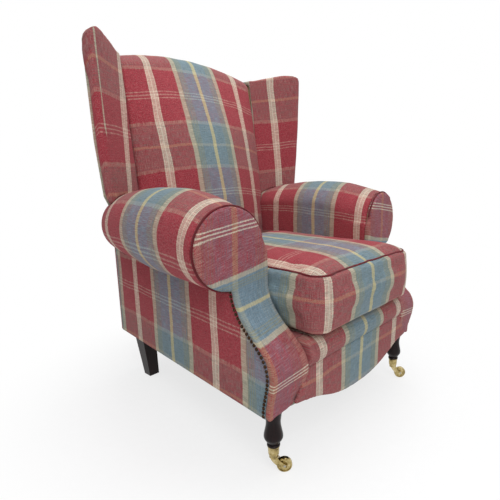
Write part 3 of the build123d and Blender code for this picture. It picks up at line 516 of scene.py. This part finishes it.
def foam():
    """Cut polyurethane foam: pale yellow, open cells drawn 2 mm wide."""
    material, tree, shader = new_material("Cut_seat_foam", Roughness=0.95, Specular_IOR_Level=0.1)
    where = add(tree, "TexCoord").outputs["Object"]
    cells = add(tree, "TexVoronoi", {"Vector": where, "Scale": scale_for(2)})
    colour = add(tree, "ValToRGB", {"Fac": cells.outputs["Distance"]},
                 stops=((0.1, "#CDBE86"), (0.6, "#E2D6A4")))
    linked(tree, shader, Base_Color=colour)
    return material


MATERIALS = {}


def finishes():
    """The chair's finishes, by the record's material slots."""
    if not MATERIALS:
        MATERIALS.update({
            # the base cloth shows mostly warp; the facings are cut with the weft on top, and
            # darkened a little with painted shade
            "check_wool": check_wool("Brushed_wool_check", 0.24),
            "facing_wool_painted_shade": check_wool("Brushed_wool_check_on_facings", 0.76, 0.94, "blue"),
            # the cord cloth is darkened to 0.4: painted shade for the shadow beside the cord
            "cord_wool_painted_shade": check_wool("Bias_cut_wool_cord", 0.3, 0.4),
            "cushion_foam": foam(),
            # unfinished wood, matt and pale: sawn beech, and the sanded faces of birch ply
            "frame_timber": wood("Sawn_beech", ((0.3, "#A9825A"), (0.7, "#C79F74")),
                                 (6.25, 6.25, 33.333), Roughness=0.7, Specular_IOR_Level=0.3),
            "frame_ply": wood("Birch_plywood", ((0.3, "#BE9C6C"), (0.7, "#D9BC8E")),
                              (25.0, 3.3333, 3.3333), Roughness=0.6, Specular_IOR_Level=0.3),
            # stained nearly black and lacquered: a soft gloss with a faint brown grain
            "dark_wood": wood("Dark_lacquered_hardwood",
                              ((0.3, "#0F0707"), (0.55, "#190B0B"), (0.75, "#26110F")),
                              (4.1667, 4.1667, 45.4545), 4.0, 0.12, 0.3, Roughness=0.32,
                              Specular_IOR_Level=0.16, Coat_Weight=0.06, Coat_Roughness=0.15),
            "webbing": plain_weave("Jute_webbing", ((0.1, "#7C6440"), (0.7, "#B39A6C")), 4.0, 0.9),
            "black_cloth": plain_weave("Black_bottoming_cloth",
                                       ((0.1, "#0E0E10"), (0.7, "#25262A")), 3.0, 0.85),
            # dark, with the brown of the bronze on the domes' rubbed tops
            "nail_bronze": worn_metal("Antique_bronze_nails",
                                      ((0.35, "#281C15"), (0.65, "#4E3A2A")), 0.32, 0.5, 2.5),
            # cast and polished, dulled in patches by handling
            "castor_brass": worn_metal("Worn_brass", ((0.3, "#75653F"), (0.5, "#B3A06C"),
                                                      (0.7, "#D2C296")), 0.14, 0.34, 11.111),
            "axle_steel": worn_metal("Turned_steel", ((0.3, "#8C8A84"), (0.7, "#B4B2AC")),
                                     0.2, 0.4, 8.3333),
            "bolt_steel": worn_metal("Zinc_plated_steel", ((0.3, "#8F9296"), (0.7, "#B9BCC0")),
                                     0.3, 0.5, 6.6667),
        })
    return MATERIALS


# ---- making pieces ----
def only(obj):
    """Selects one object and nothing else."""
    bpy.ops.object.select_all(action="DESELECT")
    obj.select_set(True)
    bpy.context.view_layer.objects.active = obj


def settled(obj):
    """Applies the object's place to its mesh."""
    only(obj)
    bpy.ops.object.transform_apply(location=True, rotation=True, scale=True)
    return obj


def editing(obj):
    """Goes into edit mode with all of one object selected."""
    only(obj)
    bpy.ops.object.mode_set(mode="EDIT")
    bpy.ops.mesh.select_mode(type="VERT")
    bpy.ops.mesh.select_all(action="SELECT")


def made_sound(obj, merge=0.0):
    """Merges points nearer than a distance in millimetres and turns all faces outwards."""
    editing(obj)
    if merge:
        bpy.ops.mesh.remove_doubles(threshold=merge * MM)
    bpy.ops.mesh.normals_make_consistent(inside=False)
    bpy.ops.object.mode_set(mode="OBJECT")
    return obj


def with_modifier(obj, kind, **settings):
    """Adds a modifier with its settings and applies it."""
    only(obj)
    modifier = obj.modifiers.new(kind.title(), kind)
    for key, value in settings.items():
        setattr(modifier, key, value)
    bpy.ops.object.modifier_apply(modifier=modifier.name)


def duplicate(name, mesh):
    """A new object with its own copy of a mesh, and no material."""
    obj = bpy.data.objects.new(name, mesh.copy())
    bpy.context.scene.collection.objects.link(obj)
    obj.data.name = name
    obj.data.materials.clear()
    return obj


def copied(name, node):
    """A closed copy of a CAD node, with the loose triangles' corners merged."""
    return made_sound(duplicate(name, frame["nodes"][node].data), merge=0.02)


def joined(name, parts):
    """Several objects made one."""
    only(parts[0])
    for part in parts:
        part.select_set(True)
    bpy.ops.object.join()
    parts[0].name = parts[0].data.name = name
    return parts[0]


def islands(node):
    """Lowest and highest corners of each separate solid in a CAD node, in millimetres."""
    only(copied(node + "_islands", node))
    bpy.ops.mesh.separate(type="LOOSE")
    boxes = []
    for part in list(bpy.context.selected_objects):
        mesh = part.data
        points = [v.co / MM for v in mesh.vertices]
        boxes.append((Vector(map(min, zip(*points))), Vector(map(max, zip(*points)))))
        bpy.data.objects.remove(part)
        bpy.data.meshes.remove(mesh)
    return boxes


def moved_points(obj, move):
    """Moves each point by what the function gives for its place and normal, in millimetres."""
    mesh = obj.data
    shifts = [move(v.co / MM, v.normal.copy()) for v in mesh.vertices]
    for v, shift in zip(mesh.vertices, shifts):
        v.co += shift * MM
    mesh.update()


def cloth_map(mesh):
    """A new, empty cloth map, the only one of its mesh."""
    while mesh.uv_layers:
        mesh.uv_layers.remove(mesh.uv_layers[0])
    return mesh.uv_layers.new(name="cloth").data


def laid_cloth(obj, lay, side=0):
    """Gives a piece its cloth map, in metres of cloth, by the way the check lies on it."""
    mesh = obj.data
    layer = cloth_map(mesh)
    places = [lay(v.co / MM, side) for v in mesh.vertices]
    for loop in mesh.loops:
        u, v = places[loop.vertex_index]
        layer[loop.index].uv = (u * MM, v * MM)


def laid_round_cushion(obj):
    """The cushion's cloth map: top and bottom panels, and the boxing between the seams."""
    mesh = obj.data
    layer = cloth_map(mesh)
    for face in mesh.polygons:
        on_panel = not BOTTOM_SEAM_Z <= face.center.z / MM <= TOP_SEAM_Z
        for i in face.loop_indices:
            p = mesh.vertices[mesh.loops[i].vertex_index].co / MM
            u, v = on_cushion_panel(p) if on_panel else on_boxing(p, face.normal)
            layer[i].uv = (u * MM, v * MM)


def dressed(obj, body, slot, *nodes, fill=None, finish=None):
    """Finish, body, slot and the CAD nodes a piece stands for."""
    obj.data.materials.clear()
    obj.data.materials.append(finishes()[finish or slot])
    only(obj)
    bpy.ops.object.shade_smooth_by_angle(angle=math.radians(40))
    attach(obj, body)
    if nodes:
        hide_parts(*nodes)


LUMP_SIZE = 55.0  # the padding is uneven over about this far


def upholstered(name, node, lay, side=0, voxel=5.0, rounds=5, swell=1.0, lump=1.0,
                finish=None):
    """A padded piece from its CAD solid: skinned evenly, edges eased and faces filled, in mm."""
    obj = copied(name, node)
    with_modifier(obj, "REMESH", mode="VOXEL", voxel_size=voxel * MM, adaptivity=0.0)
    with_modifier(obj, "SMOOTH", factor=0.5, iterations=rounds)
    moved_points(obj, lambda p, n: n * (swell + noise.noise(p / LUMP_SIZE) * lump))
    laid_cloth(obj, lay, side)
    dressed(obj, "chair", "check_wool", node, fill=0.8, finish=finish)
    return obj


def panelled(name, node, lay, side=0):
    """A thin cover over card, with its edges turned."""
    obj = copied(name, node)
    editing(obj)
    bpy.ops.mesh.dissolve_limited(angle_limit=math.radians(2))
    bpy.ops.object.mode_set(mode="OBJECT")
    with_modifier(obj, "BEVEL", width=2.5 * MM, segments=3, limit_method="ANGLE",
                  angle_limit=math.radians(50))
    laid_cloth(obj, lay, side)
    dressed(obj, "chair", "check_wool", node, fill=0.9)


def turned(name, place, rings):
    """A turned piece: a disc drawn up ring by ring, each ring (radius, height) in mm."""
    bpy.ops.object.select_all(action="DESELECT")
    radius, low = rings[0]
    x, y = place
    bpy.ops.mesh.primitive_circle_add(vertices=40, radius=radius * MM, fill_type="NGON",
                                      location=(x * MM, y * MM, low * MM))
    obj = settled(bpy.context.object)
    obj.name = obj.data.name = name
    editing(obj)
    for (r0, z0), (r1, z1) in zip(rings, rings[1:]):
        bpy.ops.mesh.extrude_region_move(
            TRANSFORM_OT_translate={"value": (0, 0, (z1 - z0) * MM)})
        bpy.ops.transform.resize(value=(r1 / r0, r1 / r0, 1),
                                 center_override=(x * MM, y * MM, z1 * MM))
    bpy.ops.object.mode_set(mode="OBJECT")
    return made_sound(obj)


def curved(knots, steps=4):
    """Rings on a smooth line through knots of (radius, height)."""
    rings = []
    for i in range(len(knots) - 1):
        before, a, b, after = (knots[max(i - 1, 0)], knots[i], knots[i + 1],
                               knots[min(i + 2, len(knots) - 1)])
        for k in range(steps):
            t = k / steps
            rings.append(tuple(0.5 * (2 * q + (r - p) * t + (2 * p - 5 * q + 4 * r - w) * t * t
                                      + (3 * q - p - 3 * r + w) * t ** 3)
                               for p, q, r, w in zip(before, a, b, after)))
    return rings + [knots[-1]]


def filled_out(obj, cap):
    """Blows the cover out with a cloth simulation and keeps each point within a cap."""
    only(obj)
    start = [v.co.copy() for v in obj.data.vertices]
    modifier = obj.modifiers.new("Filling", "CLOTH")
    modifier.settings.use_pressure = True
    modifier.settings.uniform_pressure_force = 4.0
    modifier.settings.effector_weights.gravity = 0.0
    scene = bpy.context.scene
    for at in range(1, 21):
        scene.frame_set(at)
    shaped = obj.evaluated_get(bpy.context.evaluated_depsgraph_get()).to_mesh()
    ends = [v.co.copy() for v in shaped.vertices]
    obj.modifiers.remove(modifier)
    scene.frame_set(1)
    for v, a, b in zip(obj.data.vertices, start, ends):
        step = b - a
        v.co = a + step * min(1.0, cap / max(step.length, 1e-9))
    obj.data.update()


def seam_cord(name, cushion, height, radius):
    """A covered cord that follows a closed piece's own rim at one height."""
    editing(duplicate(name, cushion.data))
    bpy.ops.mesh.bisect(plane_co=(0, 0, height * MM), plane_no=(0, 0, 1), clear_inner=True,
                        clear_outer=True)
    bpy.ops.mesh.select_all(action="SELECT")
    bpy.ops.mesh.remove_doubles(threshold=0.8 * MM)
    bpy.ops.object.mode_set(mode="OBJECT")
    bpy.ops.object.convert(target="CURVE")
    rim = bpy.context.object
    rim.data.bevel_depth = radius
    rim.data.bevel_resolution = 3
    bpy.ops.object.convert(target="MESH")
    return made_sound(bpy.context.object)


def sheet_of(columns, rows, place):
    """A flat grid, one unit square, with each point put where the function says."""
    bpy.ops.object.select_all(action="DESELECT")
    bpy.ops.mesh.primitive_grid_add(x_subdivisions=columns, y_subdivisions=rows, size=1)
    obj = bpy.context.object
    moved_points(obj, lambda p, n: place(p.x * MM, p.y * MM) - p)
    return obj


STRAP_SAG, STRAP_THICK = 1.2, 1.6
BACK_STRAP_FLAT = 3.0  # a back strap's own share of its depth; the rest is its lean


def strap(low, high):
    """One strap between its rails, sagging a little, with its width and its run."""
    size = high - low
    middle = (low + high) / 2
    on_seat = size.y > size.x
    run, width = (size.y, size.x) if on_seat else (size.x, size.z)
    lean = 0.0 if on_seat else size.y - BACK_STRAP_FLAT

    def place(u, t):
        if on_seat:
            return middle + Vector((u * width, t * run, -STRAP_SAG * (1 - (2 * t) ** 2)))
        return middle + Vector((t * run, u * lean, u * width))
    obj = sheet_of(8, 36, place)
    with_modifier(obj, "SOLIDIFY", thickness=STRAP_THICK * MM, offset=0.0)
    return obj, math.hypot(width, lean), run


BOTTOM_BACK_X = 276.0  # half width of the bottoming cloth at the back
BOTTOM_SAG, BOTTOM_THICK = 3.0, 0.8
LEG_NOTCHES = ((240, 350, 36, 36), (311, -337, 26, 30))  # middle x and y, reach in each


def bottoming():
    """Black cloth tacked under the frame, notched round the four legs, with its flat area,
    width and run in metres."""
    low, high = (Vector(c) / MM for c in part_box("dust_cloth"))

    def place(x, y):
        across = 2 * high.x - 2 * (0.5 + y) * (high.x - BOTTOM_BACK_X)
        sag = BOTTOM_SAG * (1 - (2 * x) ** 2) * (1 - (2 * y) ** 2)
        return Vector((x * across, low.y + (0.5 + y) * (high.y - low.y),
                       (low.z + high.z) / 2 - sag))
    obj = sheet_of(24, 28, place)
    obj.name = obj.data.name = "Bottoming_cloth"
    editing(obj)
    bpy.ops.mesh.select_mode(type="FACE")
    bpy.ops.mesh.select_all(action="DESELECT")
    bpy.ops.object.mode_set(mode="OBJECT")
    for face in obj.data.polygons:
        c = face.center / MM
        face.select = any(abs(abs(c.x) - x) < wide and abs(c.y - y) < deep
                          for x, y, wide, deep in LEG_NOTCHES)
    bpy.ops.object.mode_set(mode="EDIT")
    bpy.ops.mesh.delete(type="FACE")
    bpy.ops.object.mode_set(mode="OBJECT")
    area = sum(face.area for face in obj.data.polygons)
    with_modifier(obj, "SOLIDIFY", thickness=BOTTOM_THICK * MM, offset=0.0)
    return obj, area, 2 * high.x * MM, (high.y - low.y) * MM


# ---- settings ----
def yarn(name, code):
    """A yarn's colour as a setting, written as sRGB hex and kept linear."""
    return bpy.props.FloatVectorProperty(
        name=name + " yarn", description="Colour of the " + name.lower() + " yarn in the check",
        default=linear(code), size=4, min=0.0, max=1.0, subtype="COLOR")


def length(name, description, size):
    """A length setting, in metres."""
    return bpy.props.FloatProperty(name=name, description=description, default=size,
                                   min=0.0005, subtype="DISTANCE", unit="LENGTH")


class FiresideSettings(bpy.types.PropertyGroup):
    """Sizes and colours that a user of the chair would change."""
    crimson: yarn("Crimson", CRIMSON)
    blue: yarn("Blue", BLUE)
    teal: yarn("Teal", TEAL)
    straw: yarn("Straw", STRAW)
    oat: yarn("Oat", OAT)
    cream: yarn("Cream", CREAM)
    heather: yarn("Heather", HEATHER)
    rose: yarn("Rose", ROSE)
    nail_radius: length("Nail radius", "Radius of a domed nail's head", 0.0044)
    nail_rise: length("Nail rise", "How far a nail's head stands off the cover", 0.0030)
    cord_radius: length("Cushion cord", "Radius of the covered cord in the cushion's seams",
                        0.0028)
    filling: length("Cushion filling", "How far the filling may push the cushion's cover out",
                    0.007)


# ---- the pieces ----
class FIRESIDE_OT_frame(bpy.types.Operator):
    """Finishes of the frame, back legs, castors and fixings"""
    bl_idname = "fireside.frame"
    bl_label = "Frame and fittings"

    def execute(self, context):
        slots = {entry["node"]: entry["material_slot"]
                 for entry in frame["record"]["subparts"]}
        for name, obj in frame["nodes"].items():
            obj.data.materials.clear()
            obj.data.materials.append(finishes()[slots[name]])
        return {"FINISHED"}


class FIRESIDE_OT_back(bpy.types.Operator):
    """Padded inside back with its arched top"""
    bl_idname = "fireside.back"
    bl_label = "Padded back"

    def execute(self, context):
        upholstered("Padded_back", "inside_back", on_back, voxel=6.0, lump=1.5)
        return {"FINISHED"}


class FIRESIDE_OT_wings(bpy.types.Operator):
    """Padded wings with their rolled front edges"""
    bl_idname = "fireside.wings"
    bl_label = "Padded wings"

    def execute(self, context):
        for word, side in SIDES:
            upholstered("Padded_wing_" + word, "wing_pad_" + word, on_wing, side, voxel=4.0,
                        rounds=6, swell=0.6)
        return {"FINISHED"}


class FIRESIDE_OT_arms(bpy.types.Operator):
    """Padded arm rolls with the inside arms"""
    bl_idname = "fireside.arms"
    bl_label = "Padded arms"

    def execute(self, context):
        for word, side in SIDES:
            upholstered("Padded_arm_" + word, "arm_pad_" + word, on_roll, side, lump=1.4)
        return {"FINISHED"}


LINING_OUT = 1.2  # how far the cheek's lining stands off the timber


class FIRESIDE_OT_facings(bpy.types.Operator):
    """Scroll facings of the arm fronts, and the lining of the cheeks behind them"""
    bl_idname = "fireside.facings"
    bl_label = "Arm facings"

    def execute(self, context):
        for word, side in SIDES:
            # the facing cloth is darkened a little: painted shade
            upholstered("Arm_facing_" + word, "arm_facing_" + word, on_facing, side, voxel=4.0,
                        rounds=4, swell=1.2, finish="facing_wool_painted_shade")
            # the cloth is carried in over the cheek, where it shows once the cushion is out
            lining = copied("Cheek_lining_" + word, "arm_cheek_" + word)
            moved_points(lining, lambda p, n: n * LINING_OUT)
            laid_cloth(lining, on_facing, side)
            dressed(lining, "chair", "check_wool", fill=1.0)
        return {"FINISHED"}


class FIRESIDE_OT_covers(bpy.types.Operator):
    """Flat outside covers of arms, wings and back"""
    bl_idname = "fireside.covers"
    bl_label = "Outside covers"

    def execute(self, context):
        for word, side in SIDES:
            panelled("Outside_arm_" + word, "outside_arm_" + word, on_outside_arm, side)
            panelled("Outside_wing_" + word, "outside_wing_" + word, on_outside_wing, side)
        panelled("Outside_back", "outside_back", on_outside_back)
        return {"FINISHED"}


BORDER_END = (34.0, 2.0)  # before the border's end, where the pull starts and is full
BORDER_LOW = (205.0, 160.0)  # heights between which its lower edge is lifted
BORDER_OUT, BORDER_UP = 6.0, 11.0


class FIRESIDE_OT_front(bpy.types.Operator):
    """Platform, its front roll and the shaped front border"""
    bl_idname = "fireside.front"
    bl_label = "Platform and border"

    def execute(self, context):
        border = upholstered("Front_border", "front_border", on_front, voxel=3.0, rounds=3,
                             swell=0.8, lump=0.6)
        # its ends are drawn tight against the facings
        end = max(abs(v.co.x) for v in border.data.vertices) / MM

        def drawn_tight(p, n):
            near = eased(abs(p.x), *(end - before for before in BORDER_END))
            low = eased(p.z, *BORDER_LOW)
            return Vector((math.copysign(BORDER_OUT * near, p.x), 0, BORDER_UP * near * low))
        moved_points(border, drawn_tight)
        upholstered("Platform_lip", "platform_lip", on_front, voxel=4.0, rounds=4)
        panelled("Platform_cover", "seat_platform", on_platform)
        return {"FINISHED"}


CUSHION_SWELL = 2.6  # how far the cover stands off the foam
CUSHION_LUMP_SIZE, CUSHION_LUMP = 60.0, 1.2
SEAM_PULL, SEAM_REACH, SEAM_IN = 2.2, 4.5, 1.0  # draw at a seam, over this far, inside it


class FIRESIDE_OT_cushion(bpy.types.Operator):
    """Boxed loose cushion, filled out and drawn in at its piped seams"""
    bl_idname = "fireside.cushion"
    bl_label = "Loose cushion"

    def execute(self, context):
        obj = copied("Loose_cushion", "cushion_foam")
        with_modifier(obj, "REMESH", mode="VOXEL", voxel_size=6 * MM, adaptivity=0.0)
        with_modifier(obj, "SMOOTH", factor=0.5, iterations=4)
        filled_out(obj, context.scene.fireside.filling)

        def drawn_in(p, n):
            pull = sum(SEAM_PULL * math.exp(-((p.z - seam) / SEAM_REACH) ** 2)
                       for seam in (TOP_SEAM_Z - SEAM_IN, BOTTOM_SEAM_Z + SEAM_IN))
            lump = noise.noise(p / CUSHION_LUMP_SIZE) * CUSHION_LUMP
            return n * (CUSHION_SWELL - pull + lump)
        moved_points(obj, drawn_in)
        laid_round_cushion(obj)
        dressed(obj, "cushion", "check_wool", "cushion_cover", "cushion_foam", fill=0.75)
        return {"FINISHED"}


class FIRESIDE_OT_piping(bpy.types.Operator):
    """Covered cords in the cushion's seams and round the arm scrolls"""
    bl_idname = "fireside.piping"
    bl_label = "Piping"

    def execute(self, context):
        cushion = bpy.data.objects["Loose_cushion"]
        radius = context.scene.fireside.cord_radius
        cords = [seam_cord("Cord_" + str(round(z)), cushion, z, radius)
                 for z in (TOP_SEAM_Z, BOTTOM_SEAM_Z)]
        obj = joined("Cushion_piping", cords)
        laid_cloth(obj, on_cord)
        # the cushion cord's cloth carries painted shade
        dressed(obj, "cushion", "check_wool", "cushion_piping", fill=1.0, finish="cord_wool_painted_shade")
        for word, side in SIDES:
            cord = copied("Scroll_piping_" + word, "scroll_piping_" + word)
            laid_cloth(cord, on_cord, side)
            # the scroll cord's cloth carries painted shade
            dressed(cord, "chair", "check_wool", "scroll_piping_" + word, fill=1.0,
                    finish="cord_wool_painted_shade")
        return {"FINISHED"}


NAIL_SEAT = 1.2  # how far a head's rim stands off the inner end of its nail


class FIRESIDE_OT_nails(bpy.types.Operator):
    """Close row of domed nails down the front edge of each outside cover"""
    bl_idname = "fireside.nails"
    bl_label = "Domed nails"

    def execute(self, context):
        sizes = context.scene.fireside
        for word, side in SIDES:
            heads = []
            for low, high in islands("nail_trim_" + word):
                root = (low + high) / 2
                root.x = (low.x if side > 0 else high.x) + side * NAIL_SEAT
                bpy.ops.object.select_all(action="DESELECT")
                bpy.ops.mesh.primitive_uv_sphere_add(segments=12, ring_count=8,
                                                     radius=sizes.nail_radius,
                                                     location=root * MM)
                head = context.object
                head.rotation_euler = (0, math.radians(90) * side, -TAPER * side)
                head.scale = (1, 1, sizes.nail_rise / sizes.nail_radius)
                heads.append(settled(head))
            obj = joined("Domed_nails_" + word, heads)
            dressed(obj, "chair", "nail_bronze", "nail_trim_" + word)
        return {"FINISHED"}


class FIRESIDE_OT_legs(bpy.types.Operator):
    """Turned front legs with their rings and bulb"""
    bl_idname = "fireside.legs"
    bl_label = "Front legs"

    def execute(self, context):
        for word, _ in SIDES:
            low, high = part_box("castor_cup_" + word)
            place = ((low[0] + high[0]) / 2 / MM, (low[1] + high[1]) / 2 / MM)
            leg = turned("Turned_leg_" + word, place, [*LEG_FOOT, *curved(LEG_BULB)])
            dressed(leg, "chair", "dark_wood", "front_leg_" + word)
        return {"FINISHED"}


class FIRESIDE_OT_linings(bpy.types.Operator):
    """Webbing of seat and back, and the cloth stretched under the frame"""
    bl_idname = "fireside.linings"
    bl_label = "Webbing and bottoming cloth"

    def execute(self, context):
        for name, node, rails in (
                ("Base_webbing", "seat_webbing", ["front_rail", "back_rail"]),
                ("Back_webbing", "back_webbing", ["back_post_left", "back_post_right"])):
            straps, widths, runs = zip(*(strap(low, high) for low, high in islands(node)))
            obj = joined(name, straps)
            dressed(obj, "chair", "webbing", node)
        cloth, area, width, run = bottoming()
        dressed(cloth, "chair", "black_cloth", "dust_cloth")
        return {"FINISHED"}


# ---- floor, light and camera ----
FLOOR_SIZE = 14.0
FADE = (0.45, 0.95)  # metres from the chair's middle over which the floor turns white
FADE_START = 0.74  # its share of white before that
SKY, SKY_POWER = "#F4F6FA", 0.46
LAMPS = (("Key", (-1.5, -2.1, 2.5), 48.0), ("Top", (0.3, -0.1, 2.9), 40.0))
LAMP_SIZE = 1.8
LIT_POINT = Vector((0, 0, 0.5))
CAMERA_PLACE = (-0.9541, -0.9331, 0.7184)
CAMERA_TURN = (-0.842, 0.214, -0.008)  # yaw, pitch, roll
CAMERA_LENS = 29.68
CAMERA_SHIFT = (-0.0576, 0.0202)


def seen_directly(tree):
    """1 where the camera, gloss or glass looks, and 0 for the light on the chair."""
    path = add(tree, "LightPath").outputs
    shiny = add(tree, "Math",
                {0: path["Is Glossy Ray"], 1: path["Is Transmission Ray"]}, operation="MAXIMUM")
    return add(tree, "Math", {0: path["Is Camera Ray"], 1: shiny}, operation="MAXIMUM")


def painted_floor():
    """Pale matt floor paint with a faint mottle. Away from the chair it fades to the plain
    white of the backdrop."""
    material, tree, shader = new_material("Pale_painted_floor", Roughness=0.8)
    where = add(tree, "TexCoord").outputs["Object"]
    speck = add(tree, "TexNoise", {"Vector": where, "Scale": scale_for(25)})
    colour = add(tree, "ValToRGB", {"Fac": speck},
                 stops=((0.3, "#F6F6F6"), (0.7, "#FAFAFA")))
    linked(tree, shader, Base_Color=colour)
    far = add(tree, "VectorMath", {0: where}, operation="LENGTH").outputs["Value"]
    fade = add(tree, "MapRange", {0: far, 1: FADE[0], 2: FADE[1], 3: FADE_START, 4: 1.0},
               interpolation_type="SMOOTHSTEP")
    shown = add(tree, "Math", {0: seen_directly(tree), 1: fade}, operation="MULTIPLY")
    glow = add(tree, "Emission", {"Color": (1, 1, 1, 1), "Strength": 1.0})
    mixed = add(tree, "MixShader", {0: shown, 1: shader, 2: glow})
    surface = next(n for n in tree.nodes if n.type == "OUTPUT_MATERIAL")
    tree.links.new(mixed.outputs[0], surface.inputs["Surface"])
    return material


def studio_world():
    """Even pale light from all round, in front of a white backdrop."""
    world = bpy.data.worlds.new("Studio")
    world.use_nodes = True
    tree = world.node_tree
    tree.nodes.clear()
    lit = add(tree, "Background", {"Color": linear(SKY), "Strength": SKY_POWER})
    white = add(tree, "Background", {"Color": (1, 1, 1, 1), "Strength": 1.0})
    both = add(tree, "MixShader", {0: seen_directly(tree), 1: lit, 2: white})
    add(tree, "OutputWorld", {"Surface": both})
    return world


def soft_lamp(context, name, place, power):
    """A square lamp turned to the chair."""
    lamp = bpy.data.lights.new(name, "AREA")
    lamp.size = LAMP_SIZE
    lamp.energy = power
    holder = bpy.data.objects.new(name, lamp)
    context.scene.collection.objects.link(holder)
    holder.location = place
    holder.rotation_euler = (LIT_POINT - Vector(place)).to_track_quat("-Z", "Y").to_euler()


def photo_camera(context):
    """The camera at the photograph's angle."""
    yaw, pitch, roll = CAMERA_TURN
    forward = Vector((-math.sin(yaw) * math.cos(pitch), math.cos(yaw) * math.cos(pitch),
                      -math.sin(pitch)))
    right = forward.cross(Vector((0, 0, 1))).normalized()
    up = right.cross(forward)
    rolled_right = right * math.cos(roll) + up * math.sin(roll)
    rolled_up = up * math.cos(roll) - right * math.sin(roll)
    data = bpy.data.cameras.new("Camera")
    camera = bpy.data.objects.new("Camera", data)
    context.scene.collection.objects.link(camera)
    place = Matrix((rolled_right, rolled_up, -forward)).transposed().to_4x4()
    place.translation = CAMERA_PLACE
    camera.matrix_world = place
    data.lens = CAMERA_LENS
    data.shift_x, data.shift_y = CAMERA_SHIFT
    context.scene.camera = camera


class FIRESIDE_OT_stage(bpy.types.Operator):
    """Pale floor, soft light and the camera"""
    bl_idname = "fireside.stage"
    bl_label = "Floor, light and camera"

    def execute(self, context):
        bpy.ops.object.select_all(action="DESELECT")
        bpy.ops.mesh.primitive_plane_add(size=FLOOR_SIZE, location=(0, 0, 0))
        floor = settled(context.object)
        floor.name = "Floor"
        floor.data.materials.append(painted_floor())
        context.scene.world = studio_world()
        for lamp in LAMPS:
            soft_lamp(context, *lamp)
        photo_camera(context)
        context.scene.view_settings.view_transform = "Standard"
        return {"FINISHED"}


class FIRESIDE_PT_panel(bpy.types.Panel):
    """Lists the steps that dress the chair"""
    bl_idname = "FIRESIDE_PT_panel"
    bl_label = "Fireside chair"
    bl_space_type = "VIEW_3D"
    bl_region_type = "UI"
    bl_category = "Fireside chair"

    def draw(self, context):
        for step in STEPS:
            self.layout.operator(step.bl_idname)


STEPS = (FIRESIDE_OT_frame, FIRESIDE_OT_back, FIRESIDE_OT_wings, FIRESIDE_OT_arms,
         FIRESIDE_OT_facings, FIRESIDE_OT_covers, FIRESIDE_OT_front, FIRESIDE_OT_cushion,
         FIRESIDE_OT_piping, FIRESIDE_OT_nails, FIRESIDE_OT_legs, FIRESIDE_OT_linings,
         FIRESIDE_OT_stage)
CLASSES = (FiresideSettings, *STEPS, FIRESIDE_PT_panel)


def register():
    for cls in CLASSES:
        bpy.utils.register_class(cls)
    bpy.types.Scene.fireside = bpy.props.PointerProperty(type=FiresideSettings)


def unregister():
    del bpy.types.Scene.fireside
    for cls in reversed(CLASSES):
        bpy.utils.unregister_class(cls)


def main():
    register()
    for step in STEPS:
        getattr(bpy.ops.fireside, step.bl_idname.split(".")[1])()


if __name__ == "__main__":
    main()
